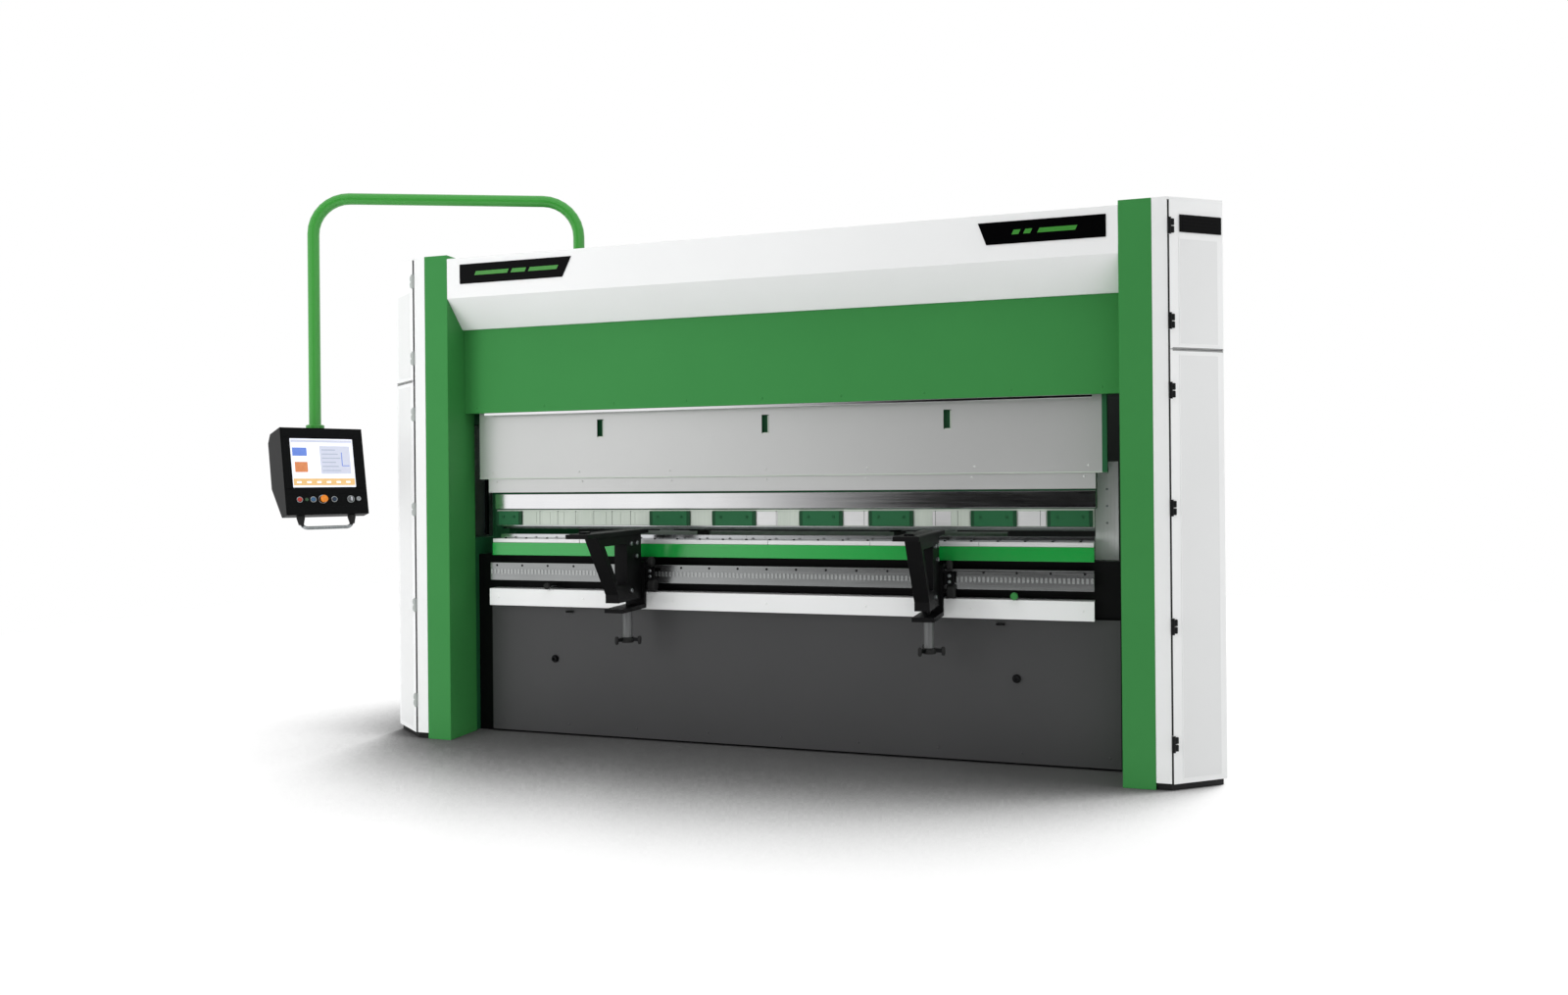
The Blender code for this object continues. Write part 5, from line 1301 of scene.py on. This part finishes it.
FLOOR_REACH = 8.0
# the floor's shadow is painted into its glow, from how much of the sky in this direction the machine hides
SHADOW_SKY_DIRECTION = (0.45, 0.76, 0.46)      # where the light that throws the floor's shadow comes from
LAMPS = (("key", (-4.5, -6.5, 2.8), (0, 0, 1.2), 3.5, 190),
         ("top", (0, -1.2, 6.5), (0, 0, 0.5), 5.0, 110),
         ("right", (6.5, 0.6, 3.0), (1.8, 0.4, 1.2), 3.0, 112),
         ("left", (-6.5, 0.6, 3.0), (-1.8, 0.4, 1.2), 3.0, 60),
         ("rear", (0.5, 6.5, 4.0), (0, 0, 1.2), 4.0, 120))      # name, place, aim, size, power
LENS_MM, LENS_SHIFT = 25.43, -0.009
EYE = (1.709, -5.255, 1.308)
EYE_TURN, EYE_ROLL = math.radians(17.5), -0.009


def larger(tree, first, second):
    """Socket with the larger of two values."""
    return add_node(tree, "ShaderNodeMath", {0: first, 1: second}, operation="MAXIMUM").outputs[0]


def choose(tree, factor, first, second):
    """Socket with a mix of two shaders."""
    return add_node(tree, "ShaderNodeMixShader", {0: factor, 1: first, 2: second}).outputs[0]


def make_stage():
    """Pale floor under a white surround, with the machine's soft shadow painted into its glow."""
    mesh = bpy.data.meshes.new("studio_floor")
    mesh.from_pydata([(x * FLOOR_REACH, y * FLOOR_REACH, 0) for x, y in ((-1, -1), (1, -1), (1, 1), (-1, 1))],
                     [], [(0, 1, 2, 3)])
    floor = in_scene("studio_floor", mesh)
    made, tree, shader, output = new_material("studio_floor_white")
    shader.inputs["Base Color"].default_value = linear("#F6F6F6")
    shader.inputs["Roughness"].default_value = 0.32
    shader.inputs["Specular IOR Level"].default_value = 0.35
    # painted shadow: the floor's glow dims where the sky on the light's side is hidden
    towards = Vector(SHADOW_SKY_DIRECTION).normalized()
    facing = add_node(tree, "ShaderNodeCombineXYZ", {"X": towards.x, "Y": towards.y, "Z": towards.z})
    open_sky = add_node(tree, "ShaderNodeAmbientOcclusion",
                        {"Distance": 2.3, "Normal": facing.outputs[0]}, samples=24)
    clear = add_node(tree, "ShaderNodeMapRange",
                     {"Value": open_sky.outputs["AO"], "From Min": 0.40, "From Max": 0.75, "To Max": 1.08},
                     interpolation_type="SMOOTHSTEP")
    lit = add_node(tree, "ShaderNodeEmission", {"Color": (1, 1, 1, 1), "Strength": clear.outputs["Result"]})
    path = add_node(tree, "ShaderNodeLightPath").outputs
    shaded = choose(tree, 0.84, shader.outputs["BSDF"], lit.outputs[0])
    direct = larger(tree, path["Is Camera Ray"], path["Is Glossy Ray"])
    seen = larger(tree, direct, path["Is Transmission Ray"])
    tree.links.new(choose(tree, seen, shader.outputs["BSDF"], shaded), output.inputs["Surface"])
    mesh.materials.append(made)


def make_light():
    """Soft lamps, and a white surround with a dark flag in front that the bright metal reflects."""
    world = bpy.data.worlds.new("studio")
    bpy.context.scene.world = world
    world.use_nodes = True
    tree = world.node_tree
    tree.nodes.clear()
    path = add_node(tree, "ShaderNodeLightPath").outputs
    way = add_node(tree, "ShaderNodeSeparateXYZ",
                   {"Vector": add_node(tree, "ShaderNodeTexCoord").outputs["Generated"]}).outputs

    def ramp(value, low, high):
        return add_node(tree, "ShaderNodeMapRange", {"Value": value, "From Min": low, "From Max": high},
                        interpolation_type="SMOOTHSTEP").outputs["Result"]

    def glow(strength):
        made = add_node(tree, "ShaderNodeBackground", {"Color": (1, 1, 1, 1), "Strength": strength})
        return made.outputs[0]

    shifted = add_node(tree, "ShaderNodeMath", {0: way["X"], 1: 0.10}, operation="SUBTRACT")
    aside = add_node(tree, "ShaderNodeMath", {0: shifted.outputs[0]}, operation="ABSOLUTE")
    beyond = larger(tree, ramp(aside.outputs[0], 0.28, 0.52), ramp(way["Y"], -0.35, 0.0))
    outside_flag = larger(tree, beyond, ramp(way["Z"], 0.30, 0.60))
    in_gloss = choose(tree, path["Is Glossy Ray"], glow(0.52), glow(outside_flag))
    seen = larger(tree, path["Is Camera Ray"], path["Is Transmission Ray"])
    add_node(tree, "ShaderNodeOutputWorld", {"Surface": choose(tree, seen, in_gloss, glow(1.0))})
    for name, place, aim, size, power in LAMPS:
        lamp = bpy.data.lights.new(name, "AREA")
        lamp.size = size
        lamp.energy = power
        holder = in_scene(name, lamp)
        holder.location = place
        holder.visible_glossy = False
        holder.rotation_euler = (Vector(aim) - Vector(place)).to_track_quat("-Z", "Y").to_euler()


def make_camera():
    """Level camera at chest height in front of the right column, turned towards the left."""
    lens = bpy.data.cameras.new("camera")
    lens.sensor_width = 36
    lens.lens = LENS_MM
    lens.shift_y = LENS_SHIFT
    eye = in_scene("camera", lens)
    turn = Matrix.Rotation(EYE_TURN, 4, "Z") @ Matrix.Rotation(math.pi / 2, 4, "X")
    eye.matrix_world = Matrix.Translation(EYE) @ turn @ Matrix.Rotation(EYE_ROLL, 4, "Z")
    bpy.context.scene.camera = eye
    bpy.context.scene.view_settings.view_transform = "Standard"


make_camera()
make_stage()
make_light()
make_columns()
make_doors()
make_covers()
make_ram()
make_bed()
make_supports()
make_pendant()
make_back_gauge()
make_hydraulics()
make_cabinet()
for spare in TEMPLATES:
    bpy.data.objects.remove(spare)
